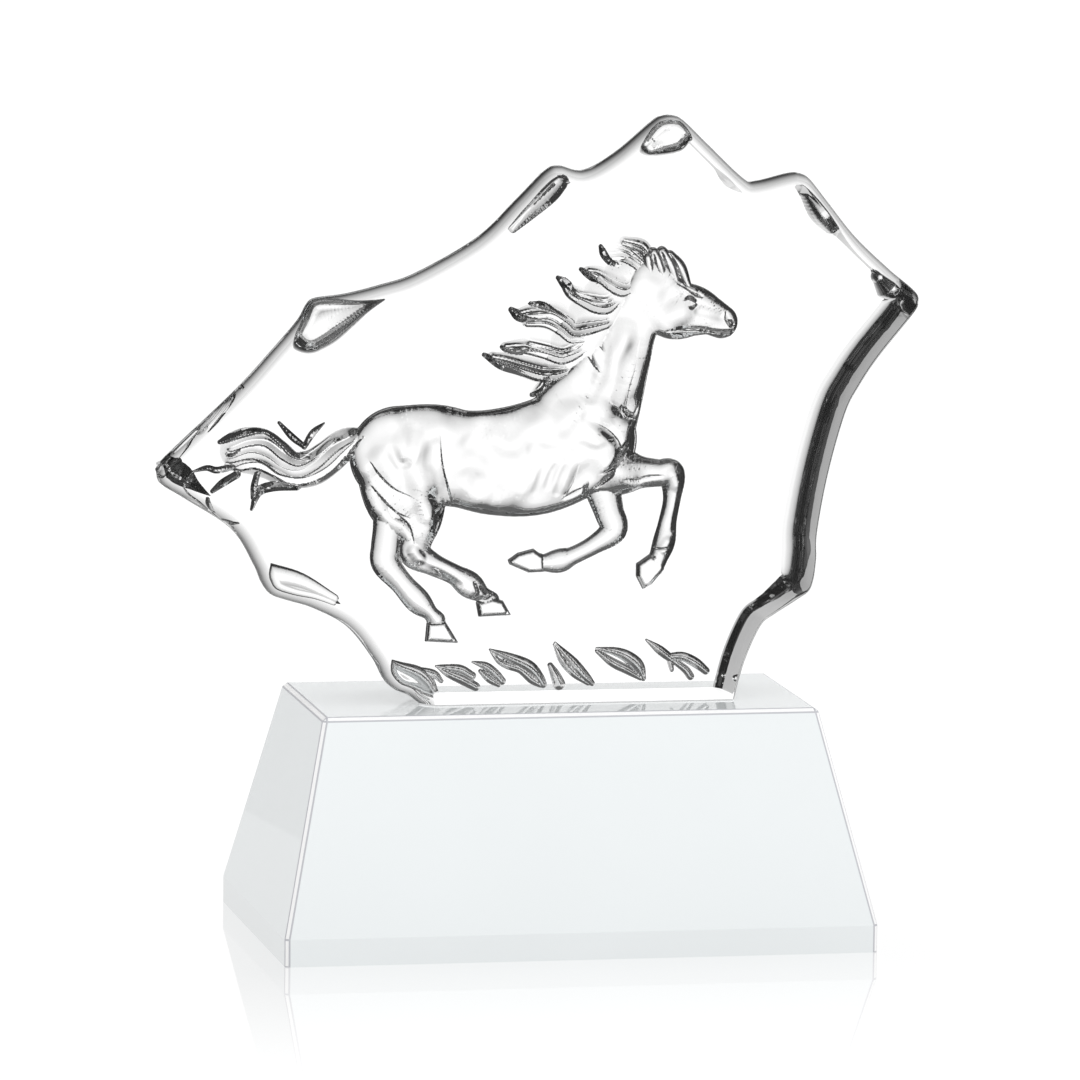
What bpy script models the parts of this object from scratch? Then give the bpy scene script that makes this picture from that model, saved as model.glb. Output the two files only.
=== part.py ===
# Horse trophy: a clear moulded-glass plaque, cut in its back with a galloping horse,
# standing on a plinth of polished white glass.
# Metres, +Z up, X to the viewer's right, Y away from the viewer, origin under the plinth's middle.

import math

import bmesh
import bpy
import numpy as np
from mathutils import Vector
from mathutils.geometry import delaunay_2d_cdt

# Plinth
PLINTH_WIDTH = 0.120
PLINTH_DEPTH = 0.074
PLINTH_TOP_WIDTH = 0.1006
PLINTH_TOP_DEPTH = 0.0467
PLINTH_HEIGHT = 0.0474
PLINTH_BAND = 0.0055          # the upright band that the slopes start from
PLINTH_ARRIS = 0.0008         # the polished bevel along the slopes' edges

# Plaque
PLAQUE_HEIGHT = 0.1175
PLAQUE_THICKNESS = 0.024
PLAQUE_FRONT_ROUND = 0.0035   # radius of the front rim
PLAQUE_SIDE_LEAN = 0.0040     # how far the side walls lean in towards the back
SEAT_GAP = 0.0003             # between the plaque's foot and the plinth's top

# Faceting
OUTLINE_STRAY = 0.00008       # how far a facet may stray from the plaque's outline
OUTLINE_STEP = 0.009          # longest facet along the outline
FRONT_ROUND_FACETS = 3
FINEST_CELL = 0.00095         # smallest spacing of the points on the carved back
CELL_HALVINGS = 3             # from the widest spacing on the back to the finest
CELL_SAMPLES = 5              # each way, where a cell is tested for bends
CARVING_STRAY = 0.00019       # how far a facet may stray from the carving
EDGE_CLEARANCE = 0.45         # share of its cell that a point keeps from a form's edge
EDGE_SNAP = 0.1               # share of a step that a form's edge keeps from the lattice
CURVE_STEPS = 12              # between two stations of the outline
STROKE_STEPS = 6              # between two stations of a stroke
SEAT_SNAP = 0.0001            # points this near the foot's plane are moved onto it
CROSSING = 0.97               # share of its inset below which a point has crossed at a peak
RIM_SHARES = np.linspace(0.3, 1, 29)   # of the walls' lean, tried in turn for the back rim

# From here on, places are hundredths of the plaque's height: x from the plinth's middle,
# z up from the plaque's foot. The outline goes clockwise from the left peak and runs on
# below the foot, where the flat seat cuts it off.
UNIT = PLAQUE_HEIGHT / 100
RIM_CLEARANCE = 0.3           # that a form's edge keeps from the rim
MERGE = 0.1                   # within which points become one
FOOT_MARGIN = 1.2             # that is carved below the seat, then cut off with it
FAR = 99.0
OUTLINE = [
    (-69.6, 40.2), (-69.5, 41.2), (-67.1, 43.9), (-56.3, 54.0), (-49.4, 61.5), (-45.7, 65.8),
    (-44.3, 68.3), (-42.8, 69.5), (-37.5, 70.2), (-31.7, 71.6), (-25.5, 73.6), (-15.0, 79.5),
    (-8.3, 85.9), (-3.5, 90.7), (-1.0, 91.6), (3.1, 90.8), (8.4, 93.6), (14.6, 98.8),
    (16.6, 99.9), (18.6, 100.0), (20.5, 99.1), (24.9, 94.9), (30.9, 89.3), (33.1, 88.7),
    (38.7, 90.0), (40.7, 90.0), (42.6, 89.0), (45.7, 85.2), (50.7, 79.1), (56.7, 73.5),
    (61.4, 69.6), (61.9, 67.9), (61.0, 65.8), (55.0, 58.4), (51.7, 53.5), (49.3, 48.8),
    (46.5, 38.6), (44.7, 28.4), (44.6, 23.6), (43.8, 18.7), (41.4, 16.6), (37.4, 14.2),
    (35.1, 12.3), (32.4, 6.3), (30.6, -0.3), (29.4, -5.0), (-15.0, -5.0), (-23.6, -0.3),
    (-26.0, 1.4), (-28.4, 2.4), (-30.4, 4.3), (-32.4, 8.0), (-36.8, 13.4), (-42.6, 16.6),
    (-47.0, 18.0), (-49.9, 19.1), (-51.6, 21.3), (-52.9, 24.3), (-56.7, 30.3), (-64.5, 35.5),
    (-68.8, 38.2),
]

# The horse: strokes of (x, z, half-width, depth) from one end of a form to the other.
TRUNK = [(-26.2, 41.2, 8.4, 3.6), (-20.2, 41.1, 8.7, 3.8), (-14.8, 40.3, 8.4, 3.8),
         (-8.8, 39.7, 9.2, 3.9), (-1.9, 40.4, 9.9, 4.0), (5.8, 43.4, 9.7, 4.0)]
NECK = [(5.0, 44.6, 9.9, 4.0), (8.8, 50.3, 8.0, 3.8), (12.2, 56.7, 6.4, 3.6),
        (14.9, 62.5, 5.0, 3.3), (17.0, 67.8, 4.7, 3.0)]
HEAD = [(17.8, 70.0, 4.5, 3.0), (21.0, 65.9, 5.2, 3.6), (24.9, 65.4, 4.4, 3.2),
        (27.7, 64.6, 3.4, 2.7), (30.0, 63.4, 2.9, 2.4)]
NEAR_HIND_LEG = [(-25.4, 40.5, 8.3, 4.2), (-24.8, 34.5, 7.2, 4.3), (-23.2, 30.5, 4.9, 3.8),
                 (-22.8, 27.0, 3.0, 3.0), (-23.1, 24.3, 2.7, 2.6), (-20.0, 22.3, 2.0, 2.2),
                 (-16.1, 20.4, 1.8, 2.0), (-13.5, 18.6, 2.2, 2.2), (-11.0, 16.6, 1.7, 1.9)]
FAR_HIND_LEG = [(-27.0, 33.1, 3.5, 2.4), (-27.7, 28.8, 2.7, 2.2), (-28.1, 25.4, 2.6, 2.0),
                (-28.1, 22.6, 2.5, 1.9), (-25.3, 19.1, 2.0, 1.7), (-22.5, 16.0, 2.2, 1.8),
                (-20.2, 13.9, 1.7, 1.6)]
NEAR_FORELEG = [(8.6, 39.3, 5.7, 4.2), (12.5, 37.9, 4.2, 4.0), (15.8, 37.6, 2.9, 3.2),
                (19.3, 37.4, 2.4, 2.8), (21.6, 37.2, 2.4, 2.8), (21.8, 33.2, 1.6, 2.0),
                (21.1, 29.1, 1.6, 2.0), (20.5, 25.5, 2.0, 2.3), (19.5, 22.7, 1.9, 2.2)]
FAR_FORELEG = [(9.7, 34.5, 3.1, 2.6), (10.8, 30.8, 2.6, 2.2), (11.6, 27.7, 2.4, 2.1),
               (8.3, 25.2, 1.7, 1.7), (4.5, 23.3, 1.6, 1.6), (2.2, 22.5, 2.0, 1.8),
               (-0.6, 22.2, 1.6, 1.5)]

# Hooves: corners, then depth
HOOVES = [
    ([(-12.4, 15.6), (-9.6, 16.4), (-7.6, 15.8), (-6.1, 13.2), (-11.9, 13.0)], 2.0),
    ([(-20.9, 12.3), (-21.2, 8.9), (-15.2, 8.5), (-17.6, 12.4)], 1.8),
    ([(17.9, 23.6), (21.3, 20.8), (16.8, 17.5), (15.4, 21.7)], 2.2),
    ([(-2.2, 25.3), (-0.1, 19.9), (-4.3, 20.7), (-7.6, 22.8)], 1.8),
]
HOOF_SLOPE = 1.1              # width of a hoof's rounded edge

# Muscles swell the body and creases part it: (x, z, half-width, swell), a crease's swell
# below zero.
MODELLING = [
    [(13.0, 62.0, 2.4, 0.5), (11.0, 54.0, 3.0, 0.5), (8.0, 46.0, 3.6, 0.5)],
    [(16.6, 60.0, 1.8, 0.5), (15.8, 52.0, 2.2, 0.5), (14.0, 46.0, 2.6, 0.5)],
    [(3.0, 47.5, 3.6, 0.7), (7.5, 42.5, 4.2, 0.7), (11.0, 38.0, 3.4, 0.7)],
    [(13.5, 44.5, 3.0, 0.6), (13.6, 41.5, 2.8, 0.6)],
    [(-24.5, 42.5, 3.6, 0.6), (-23.0, 36.0, 3.2, 0.6)],
    [(-19.3, 44.5, 0.9, -1.2), (-18.3, 38.0, 1.2, -1.4), (-17.5, 33.7, 1.1, -1.2)],
    [(-29.5, 39.7, 0.9, -0.8), (-27.6, 37.1, 1.2, -1.0), (-24.8, 35.3, 0.9, -0.6)],
    [(-29.6, 34.5, 1.0, -1.0), (-27.0, 32.1, 1.2, -1.2), (-22.6, 27.0, 0.9, -0.8)],
    [(18.2, 39.9, 1.0, -1.2), (16.7, 38.2, 1.2, -1.4), (14.3, 36.5, 1.1, -1.2), (11.8, 35.5, 0.9, -0.8)],
]

# Tail: strands fanned between its upper and its under edge, and stray tips
TAIL_TOP = [(-33.2, 45.9), (-36.3, 46.0), (-39.2, 44.9), (-42.0, 43.7), (-44.4, 43.9),
            (-47.3, 45.1), (-50.4, 45.4), (-53.4, 45.0), (-56.0, 44.2)]
TAIL_UNDER = [(-33.9, 44.4), (-35.8, 42.0), (-37.8, 39.9), (-40.6, 38.0), (-44.0, 37.5),
              (-47.5, 38.3), (-50.7, 40.0), (-53.8, 39.3), (-57.0, 36.4)]
TAIL_STRANDS = 4
TAIL_OVERLAP = 0.62           # a strand's half-width as a share of their spacing
TAIL_FINEST = 0.4             # least half-width of a strand
TAIL_END_TAPER = 0.7          # share of a strand's width lost at its end
TAIL_ROOT_DEPTH = 2.0
TAIL_END_DEPTH = 1.2
TAIL_TIPS = [
    [(-42.5, 43.3, 0.8, 1.5), (-44.6, 44.9, 0.7, 1.4), (-47.0, 47.3, 0.3, 0.8)],
    [(-43.1, 37.4, 0.8, 1.5), (-46.9, 37.1, 0.9, 1.4), (-49.8, 35.7, 0.8, 1.2), (-51.5, 32.6, 0.3, 0.8)],
    [(-52.5, 40.9, 0.8, 1.5), (-55.9, 40.6, 0.8, 1.4), (-59.2, 40.6, 0.7, 1.2), (-62.1, 39.8, 0.3, 0.8)],
]

# Mane: a lock is a stroke of (x, z, half-width) from the crest to its tip.
LOCK_ROOT_DEPTH = 2.4
LOCK_TIP_DEPTH = 1.4
LOCKS = [
    [(16.5, 73.3, 1.4), (15.1, 74.9, 1.6), (12.8, 75.7, 1.4), (10.6, 76.3, 1.0), (8.4, 76.6, 0.3)],
    [(16.2, 71.2, 1.4), (14.1, 72.5, 1.6), (11.6, 73.2, 1.4), (9.4, 74.1, 0.5)],
    [(15.2, 69.4, 1.2), (13.1, 69.6, 1.6), (10.3, 70.4, 1.7), (7.6, 71.8, 1.2), (4.9, 72.7, 0.3)],
    [(12.1, 67.3, 1.0), (9.5, 66.8, 1.5), (6.8, 67.9, 1.7), (4.2, 69.8, 1.3), (0.9, 71.1, 0.3)],
    [(9.3, 63.4, 0.7), (6.9, 62.9, 1.2), (4.6, 62.8, 1.5), (2.2, 64.0, 1.8), (-0.5, 65.6, 1.7),
     (-3.4, 66.0, 1.2), (-6.6, 65.6, 0.3)],
    [(4.8, 61.1, 0.8), (1.9, 61.4, 1.1), (-0.9, 62.3, 1.0), (-3.4, 63.0, 0.3)],
    [(6.2, 59.8, 0.9), (4.0, 59.0, 1.5), (1.0, 58.9, 1.5), (-1.8, 59.4, 1.1), (-4.4, 59.8, 0.9),
     (-7.9, 59.5, 0.3)],
    [(3.5, 56.6, 1.0), (0.7, 56.0, 1.4), (-2.3, 56.0, 1.3), (-5.4, 56.2, 1.0), (-8.0, 56.9, 0.8),
     (-11.3, 57.6, 0.3)],
]
FORELOCK = [
    [(17.5, 75.0, 0.9, 1.7), (18.4, 73.0, 1.1, 2.0), (19.5, 70.3, 0.6, 1.2)],
    [(20.0, 75.7, 1.2, 1.7), (21.6, 73.2, 1.6, 2.0), (22.8, 70.0, 0.9, 1.4)],
]

# Grass: each blade's root, its tip, half-width and bow
BLADE_ROOT_DEPTH = 1.8
BLADE_TIP_DEPTH = 1.0
BLADE_PROFILE = (0.8, 1.0, 0.9, 0.6, 0.2)   # shares of the half-width, from root to tip
BLADES = [
    ((-19.5, 0.6), (-28.3, 6.2), 1.0, 1.2),
    ((-12.3, 1.4), (-19.2, 4.9), 1.0, 0.7),
    ((-8.0, 1.9), (-13.1, 5.4), 0.8, 0.6),
    ((-0.9, 1.4), (-9.9, 7.6), 1.0, 0.9),
    ((2.6, 1.5), (0.6, 4.5), 0.9, 0.1),
    ((7.8, 1.4), (1.1, 8.5), 0.9, 0.3),
    ((16.8, 1.9), (8.6, 7.4), 1.2, 1.3),
    ((27.4, 3.4), (17.5, 8.5), 0.9, 0.9),
]

# Scoops that take the back rim off at the peaks, as strokes of (x, z, half-width, depth)
SCOOPS = [
    [(-42.6, 63.2, 4.4, 7.0), (-38.8, 65.6, 3.4, 6.0), (-35.0, 67.4, 2.1, 4.0), (-30.5, 68.4, 0.8, 1.0)],
    [(-6.4, 81.0, 1.2, 2.0), (-3.0, 84.8, 2.2, 4.0), (0.6, 88.2, 2.4, 6.0), (1.0, 90.0, 2.4, 7.0)],
    [(16.5, 94.0, 1.6, 4.0), (20.0, 96.6, 3.4, 7.0), (21.4, 98.0, 3.6, 8.0)],
    [(43.4, 85.8, 1.4, 5.0), (46.6, 81.6, 2.2, 9.0), (49.6, 77.8, 1.2, 5.0)],
    [(57.6, 69.6, 1.8, 3.0), (60.6, 68.6, 2.4, 7.0)],
    [(-47.5, 21.0, 1.8, 4.0), (-43.0, 20.0, 1.4, 2.4), (-37.0, 16.6, 0.7, 0.6)],
    [(-67.5, 40.5, 3.0, 7.0), (-63.5, 38.5, 3.2, 5.0), (-59.0, 35.5, 1.4, 2.0)],
]

BODY_FULLNESS = 2.4           # 2 is a round section, more is a flatter middle with steeper sides
BODY_BLEND = 0.8              # how softly the body's forms run into each other
MODELLING_EDGE = 1.0          # depth at which muscles and creases show in full


# Curves

def smooth_line(stations, steps, closed=False):
    """Points on a smooth curve through the stations, in as many columns as they have."""
    p = np.array(stations, float)
    if closed:
        p = np.vstack([p[-1], p, p[0], p[1]])
    elif len(p) > 2:
        p = np.vstack([2 * p[0] - p[1], p, 2 * p[-1] - p[-2]])
    else:
        return p
    line = []
    for a, b, c, d in zip(p[:-3], p[1:-2], p[2:-1], p[3:]):
        for t in np.arange(steps) / steps:
            line.append(0.5 * (2 * b + (c - a) * t + (2 * a - 5 * b + 4 * c - d) * t ** 2
                               + (3 * b - a - 3 * c + d) * t ** 3))
    if not closed:
        line.append(p[-2])
    return np.array(line)


def bowed_blade(root, tip, half, bow):
    """A pointed stroke from root to tip, bowed to one side."""
    along = np.array(tip) - np.array(root)
    across = np.array((-along[1], along[0])) / math.hypot(*along)
    stroke = []
    for t, full in zip(np.linspace(0, 1, len(BLADE_PROFILE)), BLADE_PROFILE):
        x, z = np.array(root) + along * t + across * bow * math.sin(math.pi * t)
        depth = BLADE_ROOT_DEPTH + (BLADE_TIP_DEPTH - BLADE_ROOT_DEPTH) * t
        stroke.append((x, z, half * full, depth))
    return stroke


def tail_strands():
    """Strands side by side from the tail's upper edge to its under edge."""
    top = np.array(TAIL_TOP)
    under = np.array(TAIL_UNDER)
    spacing = np.hypot(*(top - under).T) / TAIL_STRANDS
    taper = np.linspace(0, 1, len(top))
    half = np.maximum(spacing * TAIL_OVERLAP, TAIL_FINEST) * (1 - TAIL_END_TAPER * taper ** 5)
    depth = TAIL_ROOT_DEPTH + (TAIL_END_DEPTH - TAIL_ROOT_DEPTH) * taper
    strands = []
    for k in range(TAIL_STRANDS):
        mix = (k + 0.5) / TAIL_STRANDS
        line = top * (1 - mix) + under * mix
        strands.append(np.column_stack([line, half, depth]))
    return strands


def lock_stroke(lock):
    """A lock of the mane with its depth easing from root to tip."""
    depth = np.linspace(LOCK_ROOT_DEPTH, LOCK_TIP_DEPTH, len(lock))
    return np.column_stack([np.array(lock), depth])


# Carving

class Carving:
    """How deep the back is cut at each of the points (x, z), and how near a form's edge it is."""

    def __init__(self, x, z):
        self.x = x
        self.z = z
        self.cut = np.zeros(x.shape)
        self.to_edge = np.full(x.shape, FAR)

    def stroke(self, stations):
        """Each point's place across a tapered stroke, 1 on its edge, its depth and its distance
        from the stroke's edge."""
        line = smooth_line(stations, STROKE_STEPS)
        place = np.full(self.x.shape, FAR)
        depth = np.zeros(self.x.shape)
        reach = line[:, 2].max() * 2 + 1
        near = np.nonzero((self.x > line[:, 0].min() - reach) & (self.x < line[:, 0].max() + reach)
                          & (self.z > line[:, 1].min() - reach) & (self.z < line[:, 1].max() + reach))[0]
        x, z = self.x[near], self.z[near]
        best = np.full(x.shape, FAR)
        best_depth = np.zeros(x.shape)
        best_half = np.ones(x.shape)
        for a, b in zip(line[:-1], line[1:]):
            dx, dz = b[:2] - a[:2]
            t = np.clip(((x - a[0]) * dx + (z - a[1]) * dz) / (dx * dx + dz * dz), 0, 1)
            half = a[2] + (b[2] - a[2]) * t
            across = np.hypot(x - a[0] - dx * t, z - a[1] - dz * t) / half
            nearer = across < best
            best = np.where(nearer, across, best)
            best_half = np.where(nearer, half, best_half)
            best_depth = np.where(nearer, a[3] + (b[3] - a[3]) * t, best_depth)
        place[near] = best
        depth[near] = best_depth
        edge = np.full(self.x.shape, FAR)
        edge[near] = (best - 1) * best_half
        return place, depth, edge

    def form(self, stations, fullness=2.0):
        """A rounded form along a stroke."""
        place, depth, edge = self.stroke(stations)
        self.to_edge = np.minimum(self.to_edge, edge)
        return depth * np.sqrt(np.clip(1 - np.minimum(place, 1) ** fullness, 0, 1))

    def swell(self, stations):
        """A soft swelling along a stroke, with no edge of its own."""
        place, depth, _ = self.stroke(stations)
        return depth * np.clip(1 - place * place, 0, 1) ** 2

    def hoof(self, corners, depth):
        """A flat form with straight edges, rounded down to them."""
        c = np.array(corners)
        turn = sum(a[0] * b[1] - a[1] * b[0] for a, b in zip(c, np.roll(c, -1, 0)))
        inside = np.full(self.x.shape, FAR)
        for a, b in zip(c, np.roll(c, -1, 0)):
            dx, dz = (b - a) * math.copysign(1, turn)
            inside = np.minimum(inside, (dx * (self.z - a[1]) - dz * (self.x - a[0])) / math.hypot(dx, dz))
        self.to_edge = np.minimum(self.to_edge, -inside)
        rise = np.clip(inside / HOOF_SLOPE, 0, 1)
        return depth * np.sqrt(1 - (1 - rise) ** 2)

    def lay(self, form):
        self.cut = np.maximum(self.cut, form)


def blend(a, b):
    """The deeper of two forms, with the valley between them eased where both are cut."""
    near = np.clip(1 - np.abs(a - b) / BODY_BLEND, 0, 1)
    both = np.clip(np.minimum(a, b) / BODY_BLEND, 0, 1)
    return np.maximum(a, b) + BODY_BLEND * 0.25 * near * near * both


def carve(x, z):
    """Depth of the carving at the points, and their distance from the nearest form's edge."""
    c = Carving(x, z)
    for strand in tail_strands() + TAIL_TIPS:
        c.lay(c.form(strand))
    c.lay(c.form(FAR_HIND_LEG))
    c.lay(c.form(FAR_FORELEG))
    body = c.form(TRUNK, BODY_FULLNESS)
    for part in (NECK, NEAR_HIND_LEG, NEAR_FORELEG, HEAD):
        body = blend(body, c.form(part, BODY_FULLNESS))
    inside = np.clip(body / MODELLING_EDGE, 0, 1)
    for stations in MODELLING:
        body = body + c.swell(stations) * inside
    c.lay(body)
    for corners, depth in HOOVES:
        c.lay(c.hoof(corners, depth))
    for lock in LOCKS:
        c.lay(c.form(lock_stroke(lock)))
    for lock in FORELOCK:
        c.lay(c.form(lock))
    for blade in BLADES:
        c.lay(c.form(bowed_blade(*blade)))
    for scoop in SCOOPS:
        c.lay(c.form(scoop, BODY_FULLNESS))
    return c.cut, c.to_edge


# Outline

def thin_out(line):
    """Fewer points on a closed line, still within OUTLINE_STRAY of it."""
    stray = OUTLINE_STRAY / UNIT
    longest = OUTLINE_STEP / UNIT
    kept = [0]
    n = len(line)
    i = 1
    while i < n:
        a = line[kept[-1]]
        b = line[(i + 1) % n]
        ab = b - a
        length = math.hypot(*ab)
        between = line[kept[-1] + 1:i + 1] - a
        off = np.abs(between[:, 0] * ab[1] - between[:, 1] * ab[0]).max() / max(length, 1e-9)
        if off > stray or length > longest:
            kept.append(i)
        i += 1
    return line[kept]


def inward_normals(line):
    """Unit normals pointing into a clockwise closed line."""
    along = np.roll(line, -1, 0) - np.roll(line, 1, 0)
    normal = np.column_stack([along[:, 1], -along[:, 0]])
    return normal / np.linalg.norm(normal, axis=1)[:, None]


def distance_to(line, x, z):
    """Distance from each point to a closed line."""
    nearest = np.full(x.shape, FAR)
    for a, b in zip(line, np.roll(line, -1, 0)):
        dx, dz = b - a
        t = np.clip(((x - a[0]) * dx + (z - a[1]) * dz) / (dx * dx + dz * dz), 0, 1)
        nearest = np.minimum(nearest, np.hypot(x - a[0] - dx * t, z - a[1] - dz * t))
    return nearest


def inset(line, normals, by):
    """The closed line moved inwards; points that would cross at a peak are left out."""
    moved = line + normals * np.reshape(by, (-1, 1))
    gap = distance_to(line, moved[:, 0], moved[:, 1])
    return moved[gap > by * CROSSING]


def rim_inset(line, normals):
    """How far in the back rim lies at each point of the outline: less where a scoop takes it."""
    lean = PLAQUE_SIDE_LEAN / UNIT
    rise = (PLAQUE_THICKNESS - PLAQUE_FRONT_ROUND) / UNIT
    by = np.full(len(line), lean)
    undecided = np.ones(len(line), bool)
    for share in RIM_SHARES:
        at = line + normals * lean * share
        cut, _ = carve(at[:, 0], at[:, 1])
        meets = undecided & (share * rise >= rise - cut)
        by[meets] = lean * share
        undecided &= ~meets
    return by


# Points on the carved back

def cell_needs_more(x, z, size):
    """Whether the carving bends inside each square cell by more than a facet may stray."""
    s = np.linspace(0, 1, CELL_SAMPLES)
    ox, oz = np.meshgrid(s - 0.5, s - 0.5)
    px = (x[:, None] + ox.ravel() * size).ravel()
    pz = (z[:, None] + oz.ravel() * size).ravel()
    cut = carve(px, pz)[0].reshape(len(x), CELL_SAMPLES, CELL_SAMPLES)
    flat = (np.multiply.outer(cut[:, 0, 0], np.outer(1 - s, 1 - s))
            + np.multiply.outer(cut[:, 0, -1], np.outer(1 - s, s))
            + np.multiply.outer(cut[:, -1, 0], np.outer(s, 1 - s))
            + np.multiply.outer(cut[:, -1, -1], np.outer(s, s)))
    return np.abs(cut - flat).reshape(len(x), -1).max(1) > CARVING_STRAY / UNIT


def back_points(rim):
    """Points over the back, closer together where it is carved."""
    finest = FINEST_CELL / UNIT
    size = finest * 2 ** CELL_HALVINGS
    x, z = np.meshgrid(np.arange(rim[:, 0].min(), rim[:, 0].max() + size, size),
                       np.arange(rim[:, 1].min(), rim[:, 1].max() + size, size))
    x, z = x.ravel(), z.ravel()
    found = []
    while True:
        split = cell_needs_more(x, z, size) if size > finest * 1.01 else np.zeros(len(x), bool)
        found.append(np.column_stack([x[~split], z[~split], np.full((~split).sum(), size)]))
        if not split.any():
            break
        size /= 2
        x = (x[split][:, None] + size * np.array([-0.5, 0.5, -0.5, 0.5])).ravel()
        z = (z[split][:, None] + size * np.array([-0.5, -0.5, 0.5, 0.5])).ravel()
    points = np.vstack(found)
    _, edge = carve(points[:, 0], points[:, 1])
    clear = np.abs(edge) > np.minimum(points[:, 2], finest) * EDGE_CLEARANCE
    return points[clear, :2], points[clear, 2]


def form_edges(rim):
    """Short straight pieces along the edges of the carved forms, as points and pairs of them."""
    step = FINEST_CELL / UNIT
    xs = np.arange(rim[:, 0].min(), rim[:, 0].max(), step)
    zs = np.arange(rim[:, 1].min(), rim[:, 1].max(), step)
    x, z = np.meshgrid(xs, zs)
    gap = carve(x.ravel(), z.ravel())[1].reshape(x.shape)
    points = []
    number = {}

    def crossing(r, c, down, along):
        """The point where an edge crosses the lattice between two neighbours, if it does."""
        here, there = gap[r, c], gap[r + down, c + along]
        if (here < 0) == (there < 0):
            return None
        key = (r, c, down)
        if key not in number:
            t = min(max(here / (here - there), EDGE_SNAP), 1 - EDGE_SNAP)
            number[key] = len(points)
            points.append((xs[c] + step * along * t, zs[r] + step * down * t))
        return number[key]

    pairs = []
    for r in range(len(zs) - 1):
        for c in range(len(xs) - 1):
            found = [crossing(r, c, 0, 1), crossing(r, c, 1, 0),
                     crossing(r + 1, c, 0, 1), crossing(r, c + 1, 1, 0)]
            found = [k for k in found if k is not None]
            pairs += list(zip(found[::2], found[1::2]))
    return np.array(points), pairs


# Plaque

def sheet(loops, creases, pairs, points, height):
    """Triangles over the outline, through its inset loops, creases and points.

    height gives y at a place, and whether it lies on a crease."""
    flat = np.vstack(loops + [creases, points])
    edges = []
    start = 0
    for loop in loops:
        n = len(loop)
        edges += [(start + i, start + (i + 1) % n) for i in range(n)]
        start += n
    edges += [(start + a, start + b) for a, b in pairs]
    verts, _, faces, origin, _, _ = delaunay_2d_cdt([Vector(p) for p in flat], edges, [], 1, MERGE)
    place = np.array([(v.x, v.y) for v in verts])
    creased = np.array([any(start <= source < start + len(creases) for source in sources)
                        for sources in origin])
    ring = {}
    for k, sources in enumerate(origin):
        for source in sources:
            if source < len(loops[0]):
                ring[k] = source
    return place, height(place, creased), faces, ring


def plaque_mesh():
    """The plaque, its foot at height zero."""
    line = thin_out(smooth_line(OUTLINE, CURVE_STEPS, closed=True))
    normals = inward_normals(line)
    front_y = -PLAQUE_THICKNESS / 2
    back_y = PLAQUE_THICKNESS / 2
    widest_y = front_y + PLAQUE_FRONT_ROUND
    radius = PLAQUE_FRONT_ROUND / UNIT
    lean = PLAQUE_SIDE_LEAN / UNIT

    front_loops = [line]
    for k in range(1, FRONT_ROUND_FACETS + 1):
        turn = math.pi / 2 * k / FRONT_ROUND_FACETS
        front_loops.append(inset(line, normals, np.full(len(line), radius * (1 - math.cos(turn)))))

    def front_height(place, _):
        gap = np.minimum(distance_to(line, place[:, 0], place[:, 1]), radius)
        return front_y + PLAQUE_FRONT_ROUND - UNIT * np.sqrt(radius ** 2 - (radius - gap) ** 2)

    def back_height(place, creased):
        gap = np.minimum(distance_to(line, place[:, 0], place[:, 1]) / lean, 1)
        cut = np.where(creased, 0, carve(place[:, 0], place[:, 1])[0])
        return np.minimum(widest_y + (back_y - widest_y) * gap, back_y - cut * UNIT)

    by = rim_inset(line, normals)
    rim = inset(line, normals, by)
    points, size = back_points(rim)
    clear = distance_to(rim, points[:, 0], points[:, 1]) > size * EDGE_CLEARANCE
    points = points[clear & on_back(rim, points)]
    creases, pairs = form_edges(rim)
    kept = distance_to(rim, creases[:, 0], creases[:, 1]) > RIM_CLEARANCE
    kept &= on_back(rim, creases)
    number = np.cumsum(kept) - 1
    pairs = [(number[a], number[b]) for a, b in pairs if kept[a] and kept[b]]
    creases = creases[kept]
    none = np.zeros((0, 2))

    mesh = bmesh.new()
    ring = [mesh.verts.new((x * UNIT, widest_y, z * UNIT)) for x, z in line]
    for flip, side in ((False, (front_loops, none, [], none, front_height)),
                       (True, ([line, rim], creases, pairs, points, back_height))):
        place, y, faces, on_ring = sheet(*side)
        verts = []
        for k, ((x, z), depth) in enumerate(zip(place, y)):
            shared = k in on_ring
            verts.append(ring[on_ring[k]] if shared else mesh.verts.new((x * UNIT, depth, z * UNIT)))
        for face in faces:
            corners = [verts[i] for i in face]
            mesh.faces.new(corners[::-1] if flip else corners)
    cut_off_foot(mesh)
    return mesh


def on_back(rim, points):
    """Which points lie inside the back's rim, down to just below the seat."""
    x, z = points.T
    crossed = np.zeros(len(points), int)
    for a, b in zip(rim, np.roll(rim, -1, 0)):
        level = (a[1] > z) != (b[1] > z)
        if level.any():
            crossed += level & (a[0] + (z - a[1]) / (b[1] - a[1]) * (b[0] - a[0]) > x)
    return (crossed % 2 == 1) & (z > -FOOT_MARGIN)


def cut_off_foot(mesh):
    """Cut the plaque flat at its foot and close it there."""
    everything = list(mesh.verts) + list(mesh.edges) + list(mesh.faces)
    cut = bmesh.ops.bisect_plane(mesh, geom=everything, dist=SEAT_SNAP, use_snap_center=True,
                                 plane_co=(0, 0, 0), plane_no=(0, 0, -1), clear_outer=True)
    rim = [e for e in cut["geom_cut"] if isinstance(e, bmesh.types.BMEdge)]
    bmesh.ops.contextual_create(mesh, geom=rim)
    bmesh.ops.triangulate(mesh, faces=[f for f in mesh.faces if len(f.verts) > 3])
    bmesh.ops.recalc_face_normals(mesh, faces=mesh.faces)


# Plinth

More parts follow.
